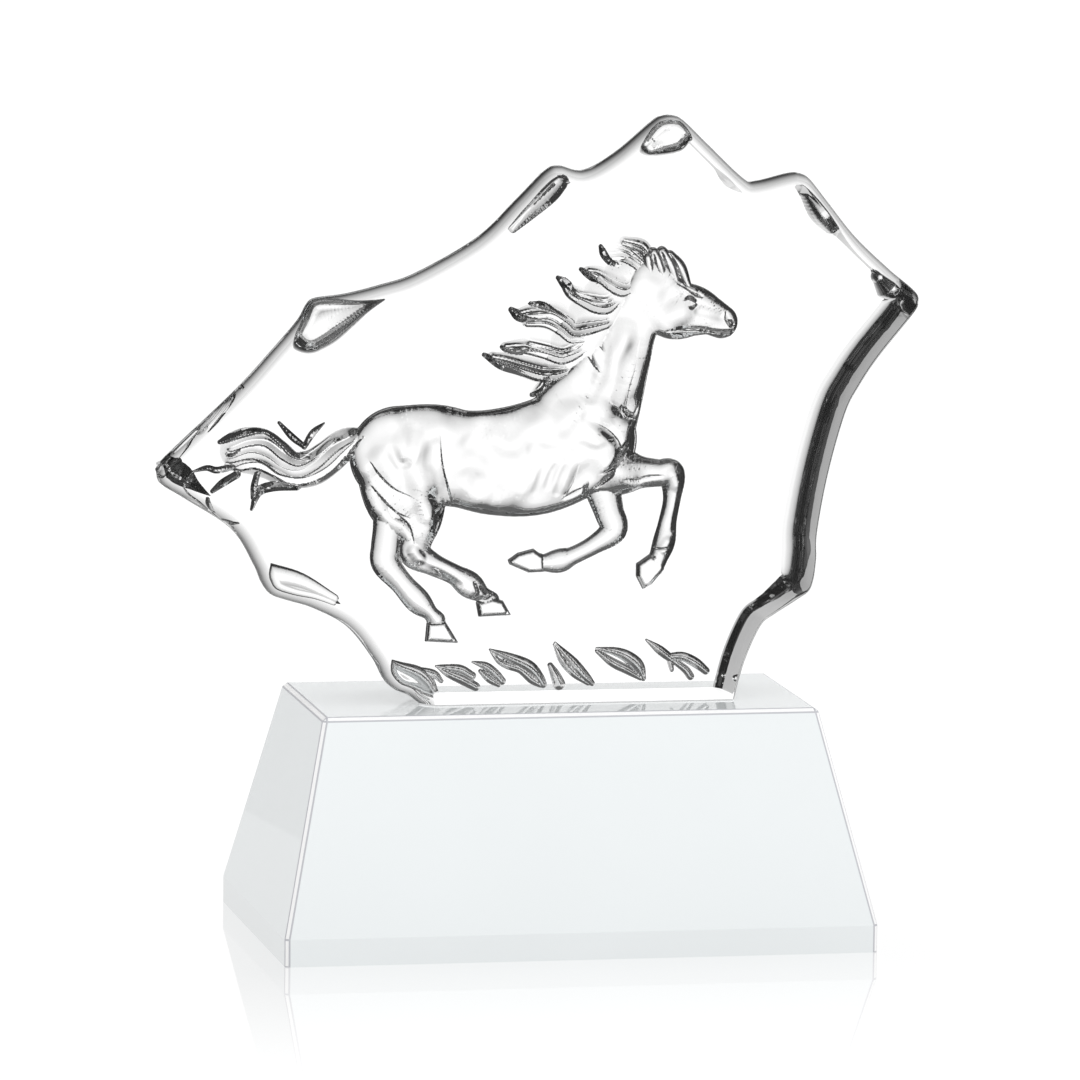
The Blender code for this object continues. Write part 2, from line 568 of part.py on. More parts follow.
def plinth_mesh():
    mesh = bmesh.new()
    levels = [(PLINTH_WIDTH, PLINTH_DEPTH, 0), (PLINTH_WIDTH, PLINTH_DEPTH, PLINTH_BAND),
              (PLINTH_TOP_WIDTH, PLINTH_TOP_DEPTH, PLINTH_HEIGHT)]
    rings = [[mesh.verts.new((sx * w / 2, sy * d / 2, z)) for sx, sy in ((-1, -1), (1, -1), (1, 1), (-1, 1))]
             for w, d, z in levels]
    mesh.faces.new(rings[0][::-1])
    mesh.faces.new(rings[-1])
    for low, high in zip(rings[:-1], rings[1:]):
        for i in range(4):
            j = (i + 1) % 4
            mesh.faces.new((low[i], low[j], high[j], high[i]))
    top = [e for e in mesh.edges if all(v in rings[2] for v in e.verts)]
    corners = [e for e in mesh.edges if abs(e.verts[0].co.z - e.verts[1].co.z) > PLINTH_BAND / 2]
    bmesh.ops.bevel(mesh, geom=top + corners, offset=PLINTH_ARRIS, segments=1, affect="EDGES")
    return mesh


# Objects

def glass(name, colour, roughness, transmission):
    material = bpy.data.materials.new(name)
    material.use_nodes = True
    shader = material.node_tree.nodes["Principled BSDF"]
    shader.inputs["Base Color"].default_value = (*colour, 1)
    shader.inputs["Roughness"].default_value = roughness
    shader.inputs["Metallic"].default_value = 0
    shader.inputs["Transmission Weight"].default_value = transmission
    return material


def add_object(name, mesh, material, height):
    data = bpy.data.meshes.new(name)
    mesh.to_mesh(data)
    mesh.free()
    data.materials.append(material)
    thing = bpy.data.objects.new(name, data)
    thing.location.z = height
    bpy.context.scene.collection.objects.link(thing)
    return thing


def main():
    for thing in list(bpy.data.objects):
        bpy.data.objects.remove(thing)
    white = glass("white_glass", (0.86, 0.89, 0.91), 0.05, 0)
    clear = glass("clear_glass", (1, 1, 1), 0.01, 1)
    add_object("plinth", plinth_mesh(), white, 0)
    add_object("plaque", plaque_mesh(), clear, PLINTH_HEIGHT + SEAT_GAP)


main()
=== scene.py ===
"""Horse trophy: how it looks.

A plaque of clear moulded glass, with a galloping horse cut in its back, stands on a plinth of
white opal glass. Metres, +Z up, X to the viewer's right, Y away from the viewer.
"""

import math

import bmesh
import bpy
import numpy as np
from mathutils import Matrix, Vector
from mathutils.geometry import delaunay_2d_cdt


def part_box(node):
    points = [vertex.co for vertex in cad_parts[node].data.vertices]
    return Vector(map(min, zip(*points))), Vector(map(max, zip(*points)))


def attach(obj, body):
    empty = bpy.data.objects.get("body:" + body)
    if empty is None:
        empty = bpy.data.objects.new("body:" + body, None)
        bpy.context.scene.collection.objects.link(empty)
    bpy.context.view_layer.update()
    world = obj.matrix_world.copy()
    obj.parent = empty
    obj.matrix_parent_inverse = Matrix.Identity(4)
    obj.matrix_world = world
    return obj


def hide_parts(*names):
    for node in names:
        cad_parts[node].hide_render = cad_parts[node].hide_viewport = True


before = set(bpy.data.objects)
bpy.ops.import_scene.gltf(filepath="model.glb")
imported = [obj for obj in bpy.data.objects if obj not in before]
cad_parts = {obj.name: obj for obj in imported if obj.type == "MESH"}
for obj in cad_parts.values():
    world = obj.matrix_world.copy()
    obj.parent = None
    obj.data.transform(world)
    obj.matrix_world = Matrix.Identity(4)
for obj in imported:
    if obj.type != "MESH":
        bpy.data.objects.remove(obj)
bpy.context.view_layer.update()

bl_info = {
    "name": "Horse Trophy",
    "version": (1, 0, 0),
    "blender": (4, 5, 0),
    "location": "View3D > Sidebar > Horse Trophy",
    "description": "Builds a clear glass plaque cut with a galloping horse, and its white glass plinth",
    "category": "Add Mesh",
}

PLAQUE_LOW, PLAQUE_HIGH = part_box("plaque")
PLINTH_LOW, PLINTH_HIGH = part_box("plinth")

# Plinth
PLINTH_WIDTH = 0.120
PLINTH_DEPTH = 0.074
PLINTH_TOP_WIDTH = 0.1006
PLINTH_TOP_DEPTH = 0.0467
PLINTH_BAND = 0.0055  # the upright band that the slopes start from

# Plaque
PLAQUE_HEIGHT = 0.1175
PLAQUE_THICKNESS = 0.024
FRONT_ROUND = 0.0035  # radius of the front rim
# How far a side wall leans in towards the back, how wide its front rim is rounded and how much it
# bulges, by the way that it faces, in degrees from the right through up and left.
WALLS = [(0, 0.0040, 0.0006, 1), (25, 0.0036, 0.0010, 1), (45, 0.0014, 0.0024, 0), (70, 0.0028, 0.0024, 0),
         (95, 0.0040, 0.0024, 0), (135, 0.0054, 0.0024, 0), (180, 0.0050, 0.0024, 0),
         (225, 0.0030, 0.0030, 0), (270, 0.0014, 0.0030, 0), (315, 0.0030, 0.0010, 1)]
FOOT_WALL = (0.0014, 0.0010, 1)  # the same for a wall that faces right, below this height:
FOOT_WALL_HEIGHT = 15.5
BULGE_GAPS = (0.0, 0.05, 0.101, 0.245, 0.51, 0.73, 0.83, 1.0)  # a bulging wall's lean in
BULGE_RISES = (0.0, 0.233, 0.438, 0.884, 0.939, 0.981, 0.988, 1.0)  # shares, and how far back
ROUNDED = 0.5  # slope above which a bulging wall is shaded as rounded
FRONT_ROUND_FACETS = 8
FRONT_BORDER = 1.08  # times the rounding's width, where the flat front begins
OUTLINE_STRAY = 0.00002  # how far a facet may stray from the outline
OUTLINE_STEP = 0.0012  # longest facet along the outline
FLAT_STEP = 0.0015  # spacing of mesh points where the back is flat
COARSER = 2.2  # times the carving step, inside the forms
STAGGERED_ROW = 0.866  # times the step, from one row of points to the next
CURVE_STEPS = 14  # between two stations of the outline
STROKE_STEPS = 6  # between two stations of a stroke
SEAT_SNAP = 0.00005  # points this near the foot's plane are moved onto it

# From here on, lengths are hundredths of the plaque's height: x from the plinth's middle, z up
# from the plaque's foot. Only the tables of shapes are in thousandths. The outline goes
# clockwise from the left peak and runs on below the foot, where the flat seat cuts it off.
UNIT = PLAQUE_HEIGHT / 100
TABLE = 10  # thousandths in one of these lengths
LEAN_EASE = 4.0  # length of outline over which the walls' lean changes
CROSSING = 0.97  # share of its inset below which a point has crossed at a peak
RIM_SHARES = np.linspace(0.2, 1, 81)  # of the walls' lean, tried in turn for the back rim
RIM_CLEARANCE = 0.14  # that a form's edge keeps from the rim
MERGE = 0.02  # within which points become one
FOOT_MARGIN = 1.2  # that is carved below the seat, then cut off with it
DETAIL_REACH = 0.5  # from an edge or a fold, within which the mesh is finest
EDGE_CLEARANCE = 0.45  # share of the step that a point keeps from a form's edge
LATTICE_GAP = 0.7  # share of the step between the finest points and the coarser ones
EDGE_SNAP = 0.1  # share of the step that a form's edge keeps from the lattice
CORNER_SHIFT = 0.25  # share of the way to a face's middle at which its corners' slopes are read
SLOPE_STEP = 0.04  # over which a slope is read
ASTRAY = 0.8  # cosine to its flat face beyond which a slope was read across a step
FAR = 99.0
OUTLINE = [(-696, 402), (-695, 412), (-671, 439), (-563, 540), (-494, 615), (-457, 658), (-443, 683),
    (-428, 695), (-375, 702), (-317, 716), (-255, 736), (-150, 795), (-83, 859), (-35, 907), (-10, 916),
    (31, 908), (84, 936), (146, 988), (166, 999), (186, 1000), (205, 991), (249, 949), (309, 893),
    (331, 887), (387, 900), (407, 900), (426, 890), (457, 852), (507, 791), (567, 735), (614, 696),
    (619, 679), (610, 658), (550, 584), (517, 535), (493, 488), (465, 386), (447, 284), (446, 236),
    (438, 187), (414, 166), (374, 142), (351, 123), (324, 63), (306, -3), (294, -50), (-150, -50),
    (-236, -3), (-260, 14), (-284, 24), (-304, 43), (-324, 80), (-368, 134), (-426, 166), (-470, 180),
    (-499, 191), (-516, 213), (-529, 243), (-567, 303), (-645, 355), (-688, 382)]

# The horse: strokes of (x, z, half-width, depth) from one end of a form to the other.
TRUNK = [(-262, 412, 84, 36), (-202, 411, 87, 38), (-148, 403, 84, 38), (-88, 397, 92, 39),
    (-19, 404, 99, 40), (58, 434, 97, 40)]
NECK = [(50, 446, 99, 40), (86, 504, 77, 33), (118, 569, 58, 25), (145, 627, 44, 23), (170, 678, 47, 22)]
HEAD = [(178, 700, 45, 23), (210, 659, 52, 28), (249, 654, 44, 27), (277, 646, 34, 24),
    (300, 634, 29, 22)]
NEAR_HIND_LEG = [(-254, 405, 83, 39), (-248, 345, 72, 36), (-232, 305, 49, 32), (-228, 270, 30, 28),
    (-231, 243, 27, 26), (-200, 223, 20, 22), (-161, 204, 18, 20), (-135, 186, 23, 22),
    (-114, 170, 15, 19), (-98, 158, 16, 17)]
FAR_HIND_LEG = [(-270, 331, 35, 24), (-277, 288, 27, 22), (-281, 254, 26, 20), (-281, 226, 25, 19),
    (-253, 191, 20, 17), (-225, 160, 22, 18), (-204, 140, 14, 16), (-192, 126, 16, 15)]
NEAR_FORELEG = [(86, 393, 57, 42), (125, 379, 42, 40), (158, 376, 29, 32), (193, 374, 24, 28),
    (216, 372, 24, 28), (218, 332, 16, 20), (211, 291, 16, 20), (205, 255, 20, 23), (195, 227, 17, 21),
    (186, 212, 19, 20)]
FAR_FORELEG = [(97, 345, 31, 26), (108, 308, 26, 22), (116, 277, 24, 21), (83, 252, 17, 17),
    (45, 233, 16, 16), (22, 225, 21, 18), (-4, 222, 15, 15), (-18, 224, 16, 14)]

# Hooves: corners, then depth
HOOVES = [
    ([(-124, 156), (-96, 164), (-76, 158), (-61, 132), (-119, 130)], 20),
    ([(-209, 123), (-212, 89), (-152, 85), (-176, 124)], 18),
    ([(179, 234), (204, 224), (206, 208), (184, 182), (168, 173), (156, 196), (156, 218)], 22),
    ([(-24, 247), (-6, 234), (-4, 206), (-32, 205), (-66, 220), (-69, 228), (-52, 240)], 18),
]
HOOF_SLOPE = 0.9  # width of a hoof's rounded edge

# Muscles and joints that swell the body: (x, z, half-width, swell), hollows where it is less than 0.
SWELLINGS = [
    [(134, 630, 22, 3.5), (112, 550, 28, 4.5), (84, 475, 32, 4)],
    [(30, 475, 36, 6), (75, 425, 42, 6), (110, 386, 34, 5)],
    [(132, 450, 24, 4.5), (134, 418, 22, 4.5)],
    [(-245, 435, 36, 5), (-226, 370, 32, 6), (-214, 310, 22, 5)],
    [(-295, 410, 26, 3.5), (-276, 366, 24, 3.5)],
    [(-124, 176, 12, 5), (-118, 172, 12, 5)],
    [(-236, 248, 14, 5), (-224, 234, 14, 5)],
    [(215, 370, 18, 4.5), (220, 356, 15, 3.5)],
    [(209, 256, 13, 4), (203, 246, 13, 4)],
    [(-236, 454, 16, -1.5), (-246, 418, 17, -4), (-253, 402, 13, -3)],
    [(-278, 422, 14, -1.5), (-262, 400, 13, -3), (-252, 400, 13, -2)],
    [(-206, 430, 16, -1), (-209, 400, 18, -2)],
    [(65, 476, 16, -1.5), (89, 460, 16, -3.5), (114, 434, 14, -3.5)],
    [(52, 425, 13, -2), (80, 417, 14, -3), (102, 428, 12, -1.5)],
    [(-30, 420, 16, -1.5), (12, 413, 17, -3), (46, 410, 14, -2)],
    [(18, 406, 8, -0.5), (4, 384, 9, -1.8), (-6, 356, 9, -1.2)],
    [(33, 402, 8, -0.5), (21, 377, 9, -2), (11, 346, 9, -1.4)],
    [(-6, 400, 8, -0.5), (-19, 374, 9, -1.4), (-28, 348, 9, -0.8)],
    [(-34, 396, 9, -0.4), (-48, 366, 10, -1), (-56, 342, 9, -0.6)],
    [(-135, 435, 26, -2), (-85, 405, 30, -3.5), (-50, 368, 24, -2)],
    [(-145, 376, 22, -2), (-100, 348, 24, -3)],
    [(142, 606, 13, -1), (128, 554, 16, -2.2), (116, 506, 14, -2)],
    [(92, 610, 15, -1.5), (89, 560, 18, -3), (70, 510, 16, -2)],
    [(228, 338, 8, -2), (225, 310, 8, -3), (219, 278, 8, -2)],
    [(-224, 226, 9, -2), (-186, 206, 9, -3.5), (-154, 188, 8, -2)],
]

# Folds where one form lies over another: (x, z, width of the soft side, depth). The soft side is
# on the left of the way that the line runs.
FOLDS = [
    [(-201, 252, 14, 2), (-190, 280, 24, 5), (-179, 308, 30, 5), (-170, 332, 24, 1)],
    [(-170, 324, 14, 0.5), (-174, 340, 22, 5), (-181, 361, 24, 6), (-190, 397, 22, 4),
     (-194, 446, 16, 0.5)],
    [(-242, 342, 14, 0.5), (-273, 356, 18, 4.5), (-297, 378, 18, 6), (-315, 404, 14, 1)],
    [(-246, 306, 10, 1), (-268, 314, 18, 8), (-291, 336, 20, 8), (-310, 360, 14, 2)],
    [(-236, 264, 8, 1), (-246, 292, 10, 6), (-266, 310, 10, 6), (-274, 316, 8, 1)],
    [(62, 594, 5, 1), (66, 584, 8, 7), (74, 568, 8, 7), (86, 552, 5, 1)],
    [(96, 626, 4, 1), (86, 614, 6, 5), (86, 600, 6, 5), (92, 588, 4, 1)],
    [(129, 485, 16, 3.5), (135, 524, 18, 3), (145, 556, 16, 2), (154, 606, 12, 0.5)],
    [(157, 498, 10, 2), (148, 480, 12, 8), (138, 480, 12, 8), (129, 489, 10, 5)],
    [(146, 468, 12, 3), (130, 472, 14, 4.5), (120, 485, 14, 3.5), (102, 500, 12, 1)],
    [(122, 420, 16, 5), (114, 436, 16, 4), (96, 454, 16, 2.5), (65, 470, 12, 0.5)],
    [(90, 378, 8, 2), (109, 389, 12, 9), (123, 406, 14, 11), (132, 422, 12, 9)],
    [(82, 353, 8, 2), (97, 366, 10, 7), (106, 376, 10, 7), (112, 392, 8, 2)],
    [(198, 372, 8, 1), (170, 370, 10, 6), (153, 365, 10, 7), (132, 367, 8, 2)],
    [(27, 342, 10, 3), (40, 369, 12, 2.5), (48, 394, 10, 0.5)],
    [(57, 353, 8, 2), (42, 346, 10, 6), (26, 337, 8, 3)],
    [(90, 335, 8, 3), (77, 336, 10, 9), (67, 342, 10, 10), (63, 352, 9, 7), (66, 360, 7, 2)],
    [(224, 249, 5, 1.5), (201, 245, 6, 5), (180, 246, 5, 1.5)],
    [(186, 230, 5, 3), (170, 232, 6, 7), (154, 224, 5, 4)],
    [(-134, 162, 5, 3), (-124, 174, 6, 8), (-128, 192, 5, 3)],
    [(-94, 172, 5, 3), (-106, 164, 6, 7), (-122, 160, 5, 3)],
    [(-208, 124, 5, 3), (-194, 122, 6, 7), (-178, 128, 5, 3)],
    [(-220, 128, 5, 3), (-212, 142, 6, 8), (-216, 158, 5, 3)],
    [(-28, 209, 5, 3), (-22, 224, 6, 7), (-16, 234, 5, 3)],
    [(12, 244, 6, 2), (10, 226, 8, 5), (16, 208, 6, 2)],
]

# Face, in the same way: the cheek, the brow, the eye, the nostril and the lips swell it, and the
# folds part them.
FACE_SWELLINGS = [
    [(220, 655, 30, 6), (225, 655, 30, 6)],
    [(232, 694, 9, 4), (248, 686, 9, 5)],
    [(260, 656, 14, -3), (294, 646, 11, -2.5)],
    [(313, 636, 5, -11), (316, 632, 5, -11)],
    [(300, 612, 6, 5), (314, 613, 6, 5)],
]
FACE_FOLDS = [
    [(230, 674, 4, 1), (239, 678, 5, 7), (249, 673, 5, 7)],
    [(251, 665, 4, 6), (245, 661, 5, 6), (239, 663, 4, 1)],
    [(202, 620, 6, 1), (252, 623, 8, 6), (284, 619, 7, 8), (318, 619, 5, 7)],
    [(306, 652, 6, 1), (306, 639, 7, 5), (314, 628, 6, 7)],
    [(220, 702, 5, 1), (236, 694, 7, 5), (250, 684, 7, 8), (262, 679, 5, 3)],
]

# Tail: one mass between its upper and its under edge, a fold along each of its strands, running
# from its end to its root, and stray tips
TAIL_TOP = [(-318, 458), (-354, 460), (-383, 440), (-407, 423), (-437, 420), (-466, 443), (-494, 461),
    (-528, 459), (-550, 434)]
TAIL_UNDER = [(-318, 434), (-350, 407), (-381, 379), (-417, 360), (-460, 360), (-493, 374), (-520, 382),
    (-540, 388), (-554, 416)]
TAIL_DEPTHS = (17, 10)  # at the root and at the end
TAIL_STRANDS = [
    [(-561, 440, 11, 8), (-528, 450, 19, 9), (-494, 455, 22, 9), (-470, 437, 22, 8), (-447, 414, 19, 6),
     (-420, 406, 16, 3)],
    [(-550, 424, 11, 2), (-519, 433, 15, 4), (-492, 432, 16, 5), (-464, 410, 19, 5), (-436, 398, 19, 5),
     (-406, 412, 19, 5), (-375, 437, 16, 2)],
    [(-552, 404, 11, 5), (-519, 411, 18, 7), (-495, 404, 19, 8), (-467, 384, 20, 6), (-433, 379, 20, 5),
     (-402, 394, 20, 6), (-373, 421, 19, 8), (-344, 439, 14, 5)],
    [(-571, 364, 9, 8), (-540, 388, 16, 8), (-509, 394, 18, 7), (-480, 382, 19, 6), (-450, 367, 19, 8),
     (-416, 368, 20, 9), (-381, 386, 19, 9), (-352, 416, 15, 7), (-332, 436, 11, 3)],
]
TAIL_TIPS = [
    [(-426, 430, 5, 14), (-446, 446, 6, 15), (-468, 470, 3, 10)],
    [(-424, 428, 5, 12), (-409, 452, 6, 12), (-390, 468, 2, 8)],
    [(-436, 360, 7, 14), (-476, 361, 9, 17), (-502, 352, 8, 17), (-514, 322, 3, 12)],
    [(-504, 386, 5, 13), (-510, 362, 6, 16), (-512, 342, 4, 12)],
    [(-534, 452, 8, 17), (-554, 444, 8, 17), (-570, 438, 4, 12)],
    [(-536, 426, 6, 14), (-549, 416, 7, 16), (-558, 418, 4, 12)],
    [(-546, 396, 6, 14), (-574, 390, 6, 14), (-592, 394, 5, 14), (-616, 388, 2, 8)],
    [(-540, 382, 7, 15), (-564, 368, 7, 16), (-582, 354, 4, 12)],
    [(-356, 408, 6, 20), (-340, 426, 8, 28), (-324, 446, 6, 26)],
]

# Mane: a soft mass at the crest, as a stroke of (x, z, half-width, depth)
MANE_ROOT = [(156, 726, 34, 12), (120, 686, 52, 17), (86, 634, 62, 19), (58, 588, 62, 19),
    (30, 550, 46, 14)]
# The locks' lower edges as folds of (x, z, width of the soft side, depth), from the tip to the
# crest, and their deep tips as strokes.
LOCKS = [
    [(101, 743, 12, 3), (126, 741, 16, 4.5), (147, 729, 16, 4), (157, 715, 12, 1)],
    [(125, 770, 8, 5), (153, 759, 12, 10), (167, 746, 9, 6)],
    [(111, 763, 8, 2), (132, 756, 10, 4.5), (154, 739, 8, 3)],
    [(63, 719, 8, 8), (77, 714, 12, 6), (98, 695, 20, 5), (119, 684, 22, 7), (137, 687, 18, 6),
     (147, 699, 12, 2)],
    [(20, 702, 8, 8), (32, 682, 12, 8), (57, 664, 20, 5), (78, 655, 22, 7), (99, 655, 20, 8),
     (113, 664, 12, 3)],
    [(50, 678, 10, 2), (74, 671, 14, 3.5), (95, 671, 12, 3), (106, 677, 10, 1)],
    [(-54, 647, 8, 9), (-30, 646, 14, 8), (1, 644, 18, 6), (26, 627, 20, 6), (40, 616, 20, 7),
     (64, 619, 20, 9), (99, 629, 14, 5)],
    [(-40, 632, 10, 6), (-9, 630, 13, 5.5), (16, 617, 14, 4.5), (33, 604, 14, 4), (54, 604, 12, 2)],
    [(-78, 590, 8, 9), (-43, 586, 14, 7), (-8, 576, 18, 6), (16, 568, 20, 6), (34, 572, 20, 7),
     (53, 582, 14, 4)],
    [(-36, 598, 10, 3), (-5, 589, 12, 4), (20, 582, 13, 4), (40, 589, 12, 3), (54, 599, 10, 1)],
    [(-102, 572, 9, 10), (-78, 563, 13, 11), (-53, 552, 17, 11), (-18, 540, 20, 12), (10, 541, 18, 11),
     (30, 549, 12, 5)],
    [(-21, 512, 8, 4), (-8, 524, 9, 8), (-3, 538, 8, 6)],
]
LOCK_TIPS = [
    [(87, 766, 4, 12), (93, 752, 7, 17), (106, 738, 6, 12), (124, 734, 3, 6)],
    [(53, 727, 4, 12), (66, 718, 7, 17), (84, 705, 6, 12), (102, 693, 3, 6)],
    [(13, 713, 4, 12), (26, 702, 9, 19), (40, 686, 7, 13), (58, 668, 3, 6)],
    [(-68, 659, 5, 13), (-53, 648, 10, 21), (-34, 644, 7, 13), (-8, 644, 3, 6)],
    [(-34, 669, 4, 12), (-11, 664, 8, 16), (14, 652, 6, 11), (36, 638, 3, 6)],
    [(-83, 595, 4, 12), (-62, 589, 8, 16), (-38, 589, 5, 10), (-14, 583, 3, 6)],
    [(-114, 582, 4, 12), (-84, 566, 10, 19), (-50, 553, 8, 15), (-24, 542, 5, 9)],
    [(-30, 512, 4, 10), (-12, 522, 8, 16), (-6, 538, 5, 12)],
]
FORELOCK = [
    [(168, 746, 9, 20), (174, 726, 12, 22), (186, 702, 7, 16)],
    [(179, 754, 10, 20), (192, 730, 13, 24), (204, 700, 8, 16)],
    [(194, 756, 10, 20), (210, 732, 14, 24), (222, 700, 9, 18)],
    [(208, 750, 9, 20), (226, 729, 11, 22), (240, 698, 7, 16)],
]
FORELOCK_FOLDS = [
    [(192, 698, 8, 7), (182, 724, 9, 9), (178, 750, 7, 4)],
    [(209, 698, 9, 6), (201, 726, 10, 8), (192, 754, 8, 5)],
    [(228, 698, 8, 4), (220, 726, 8, 6), (206, 752, 7, 3)],
]
# Grass: each blade's strokes of (x, z, half-width) from its root to its tip
BLADE_DEPTH = 1.3  # times its half-width
BLADE_RIB = 0.3  # depth of its rib, times its half-width
BLADE_EDGE = 0.6  # power of its section
GRASS = [
    [(-196, 2, 9), (-206, 19, 12), (-224, 35, 12), (-254, 47, 8), (-279, 60, 2)],
    [(-182, 20, 4), (-196, 33, 7), (-224, 41, 5)],
    [(-128, 28, 7), (-150, 40, 8), (-178, 44, 5), (-192, 46, 2)],
    [(-122, 9, 8), (-146, 22, 9), (-170, 33, 7), (-188, 43, 2)],
    [(-76, 18, 7), (-90, 33, 8), (-106, 45, 7), (-128, 52, 2)],
    [(-82, 12, 5), (-98, 22, 7), (-114, 36, 4)],
    [(-4, 11, 7), (-12, 24, 9), (-30, 43, 11), (-64, 59, 8), (-98, 73, 2)],
    [(-9, 10, 5), (-24, 20, 8), (-44, 37, 7), (-66, 45, 7), (-82, 53, 5), (-96, 69, 2)],
    [(24, 11, 11), (17, 27, 9), (8, 44, 5)],
    [(82, 11, 5), (68, 25, 9), (46, 50, 9), (16, 83, 2)],
    [(75, 11, 4), (50, 29, 7), (29, 53, 7), (14, 80, 2)],
    [(172, 18, 5), (163, 39, 11), (147, 54, 11), (124, 65, 8), (89, 72, 2)],
    [(167, 19, 5), (142, 34, 8), (117, 47, 8), (90, 67, 4)],
    [(222, 50, 7), (200, 67, 8), (176, 85, 2)],
    [(282, 29, 7), (263, 44, 9), (240, 55, 8), (215, 56, 5)],
    [(255, 20, 7), (245, 33, 7), (222, 50, 5)],
    [(222, 32, 4), (219, 44, 5), (214, 56, 4)],
]

# Scoops that take the back rim off at the peaks: the fullness and power of their sections, then
# strokes of (x, z, half-width, depth)
SCOOPS = [
    (2.8, 0.5, [(-420, 630, 42, 90), (-398, 644, 44, 90), (-364, 658, 32, 80), (-328, 672, 18, 60),
        (-294, 682, 7, 30)]),
    (1.3, 1.0, [(-66, 798, 8, 5), (-40, 832, 20, 12), (-10, 862, 25, 15), (8, 878, 21, 13)]),
    (1.0, 1.0, [(-38, 836, 4, 18), (-18, 858, 8, 26), (2, 874, 5, 22)]),
    (3.6, 0.5, [(166, 939, 18, 60), (182, 950, 29, 70), (204, 960, 36, 75)]),
    (2.8, 0.5, [(444, 854, 10, 50), (468, 822, 18, 80), (488, 794, 10, 50)]),
    (2.8, 0.5, [(576, 710, 14, 40), (592, 696, 26, 70)]),
    (2.0, 0.5, [(-485, 208, 22, 15), (-430, 196, 16, 10), (-370, 166, 8, 4)]),
    (1.0, 1.0, [(-672, 398, 18, 30), (-642, 382, 24, 42), (-616, 362, 14, 26), (-584, 338, 5, 10)]),
]

# The body's parts in the order that they are joined, and the fullness of their sections: 2 is
# round, more is a flatter middle with steeper sides
BODY = [(TRUNK, 3.4), (NECK, 3.4), (HEAD, 3.4), (NEAR_HIND_LEG, 2.2), (NEAR_FORELEG, 2.2)]
# A lock's body beside its edge and its finer strands: how far, how wide and how deep they are,
# times the edge's own sizes
HAIR_BODY = (0.7, 1.1, 0.5)
TAIL_FINER = [(0.6, 0.5, 0.35)]
MANE_FINER = [(0.5, 0.5, 0.55), (1.0, 0.45, 0.4)]
SPIKE = (1.0, 1.0)  # fullness and power of the section of a pointed tip of hair
ROUND = 0.5  # power of a form's section that ends in a sharp edge
SOFT = 1.3  # and of one that thins out to a low edge
BODY_BLEND = 0.8  # how softly the body's forms run into each other
MODELLING_EDGE = 1.0  # depth at which muscles and creases show in full,
STRAND_EDGE = 0.25  # at which strands of hair do
RIB_EDGE = 0.5  # and at which the ribs of the grass do
FOLD_STEP = 0.3  # width of a fold's steep side
FOLD_EASE = 1.6  # power by which its soft side rises again
# Unevenness of the hand-cut body: waves of (turns per length in x, in z, start, height)
WAVES = [(0.11, 0.05, 0.0, 0.14), (-0.06, 0.13, 1.3, 0.14), (0.17, -0.12, 2.1, 0.06),
         (0.05, 0.21, 4.0, 0.05), (0.24, 0.10, 0.7, 0.03), (-0.19, 0.22, 3.2, 0.025)]

WHITE = (1.0, 1.0, 1.0, 1.0)

# Stage. The camera's place and turn were solved from the plinth's corners in the photograph.
CAMERA_TARGET = (-0.0022, 0.0, 0.0789)
CAMERA_AZIMUTH = -11.74
CAMERA_ELEVATION = 7.98
CAMERA_ROLL = 0.72
CAMERA_DISTANCE = 1.807
CAMERA_LENS = 299.87
FLOOR_RADIUS = 0.30
FLOOR_SIDES = 128
SWEEP_AXIS = (0.17, 0.97, -0.11)  # towards the middle of the white sweep behind the trophy
SWEEP_EYE = (0.0, 0.0, 0.11)  # where the sweep is seen from, in the plaque
SWEEP_FULL = 1.15  # brightness of the sweep's middle
SWEEP = [(0.0, 1.0), (4 / 180, 0.98), (8 / 180, 0.89), (13 / 180, 0.77), (20 / 180, 0.63),
         (30 / 180, 0.43), (42 / 180, 0.19), (55 / 180, 0.05), (68 / 180, 0.02), (1.0, 0.015)]
OVERHEAD = 0.4  # brightness of the soft light overhead
SHEEN = 1.2  # times the sweep's brightness, in reflections
LONG_PATH = 6.5  # times that light is bent or mirrored before it is nearly spent
SPENT = 0.05  # and its brightness then
FRONT_GLOSS = 0.5  # brightness of the room behind the camera, in reflections


def to_linear(colour):
    """A linear RGBA colour from an sRGB hex value."""
    parts = [(colour >> shift & 255) / 255 for shift in (16, 8, 0)]
    return (*[p / 12.92 if p <= 0.04045 else ((p + 0.055) / 1.055) ** 2.4 for p in parts], 1.0)


LENGTH = {"precision": 5, "subtype": "DISTANCE", "unit": "LENGTH"}


class HorseTrophySettings(bpy.types.PropertyGroup):
    """Sizes and colours that a user would change."""

    carving_step: bpy.props.FloatProperty(
        name="Carving step", description="Spacing of the mesh points inside the carved horse",
        default=0.0002, min=0.0001, max=0.002, **LENGTH)
    arris: bpy.props.FloatProperty(
        name="Arris", description="Width of the polished bevel along the plinth's slopes",
        default=0.0008, min=0.0, max=0.003, **LENGTH)
    # The fine line is coloured grey: a painted shade line along each bevel.
    painted_shade_line_width: bpy.props.FloatProperty(
        name="Ground edge", description="Width of the fine line where two ground faces meet",
        default=0.0002, min=0.0, max=0.001, **LENGTH)
    white_glass: bpy.props.FloatVectorProperty(
        name="White glass", description="Colour of the plinth's opal glass",
        default=to_linear(0xEDF1F2)[:3], min=0.0, max=1.0, size=3, subtype="COLOR")
    floor_tone: bpy.props.FloatProperty(
        name="Floor tone", description="Brightness of the pale floor as the camera sees it",
        default=1.08, min=0.0, max=2.0, subtype="FACTOR")


# Curves

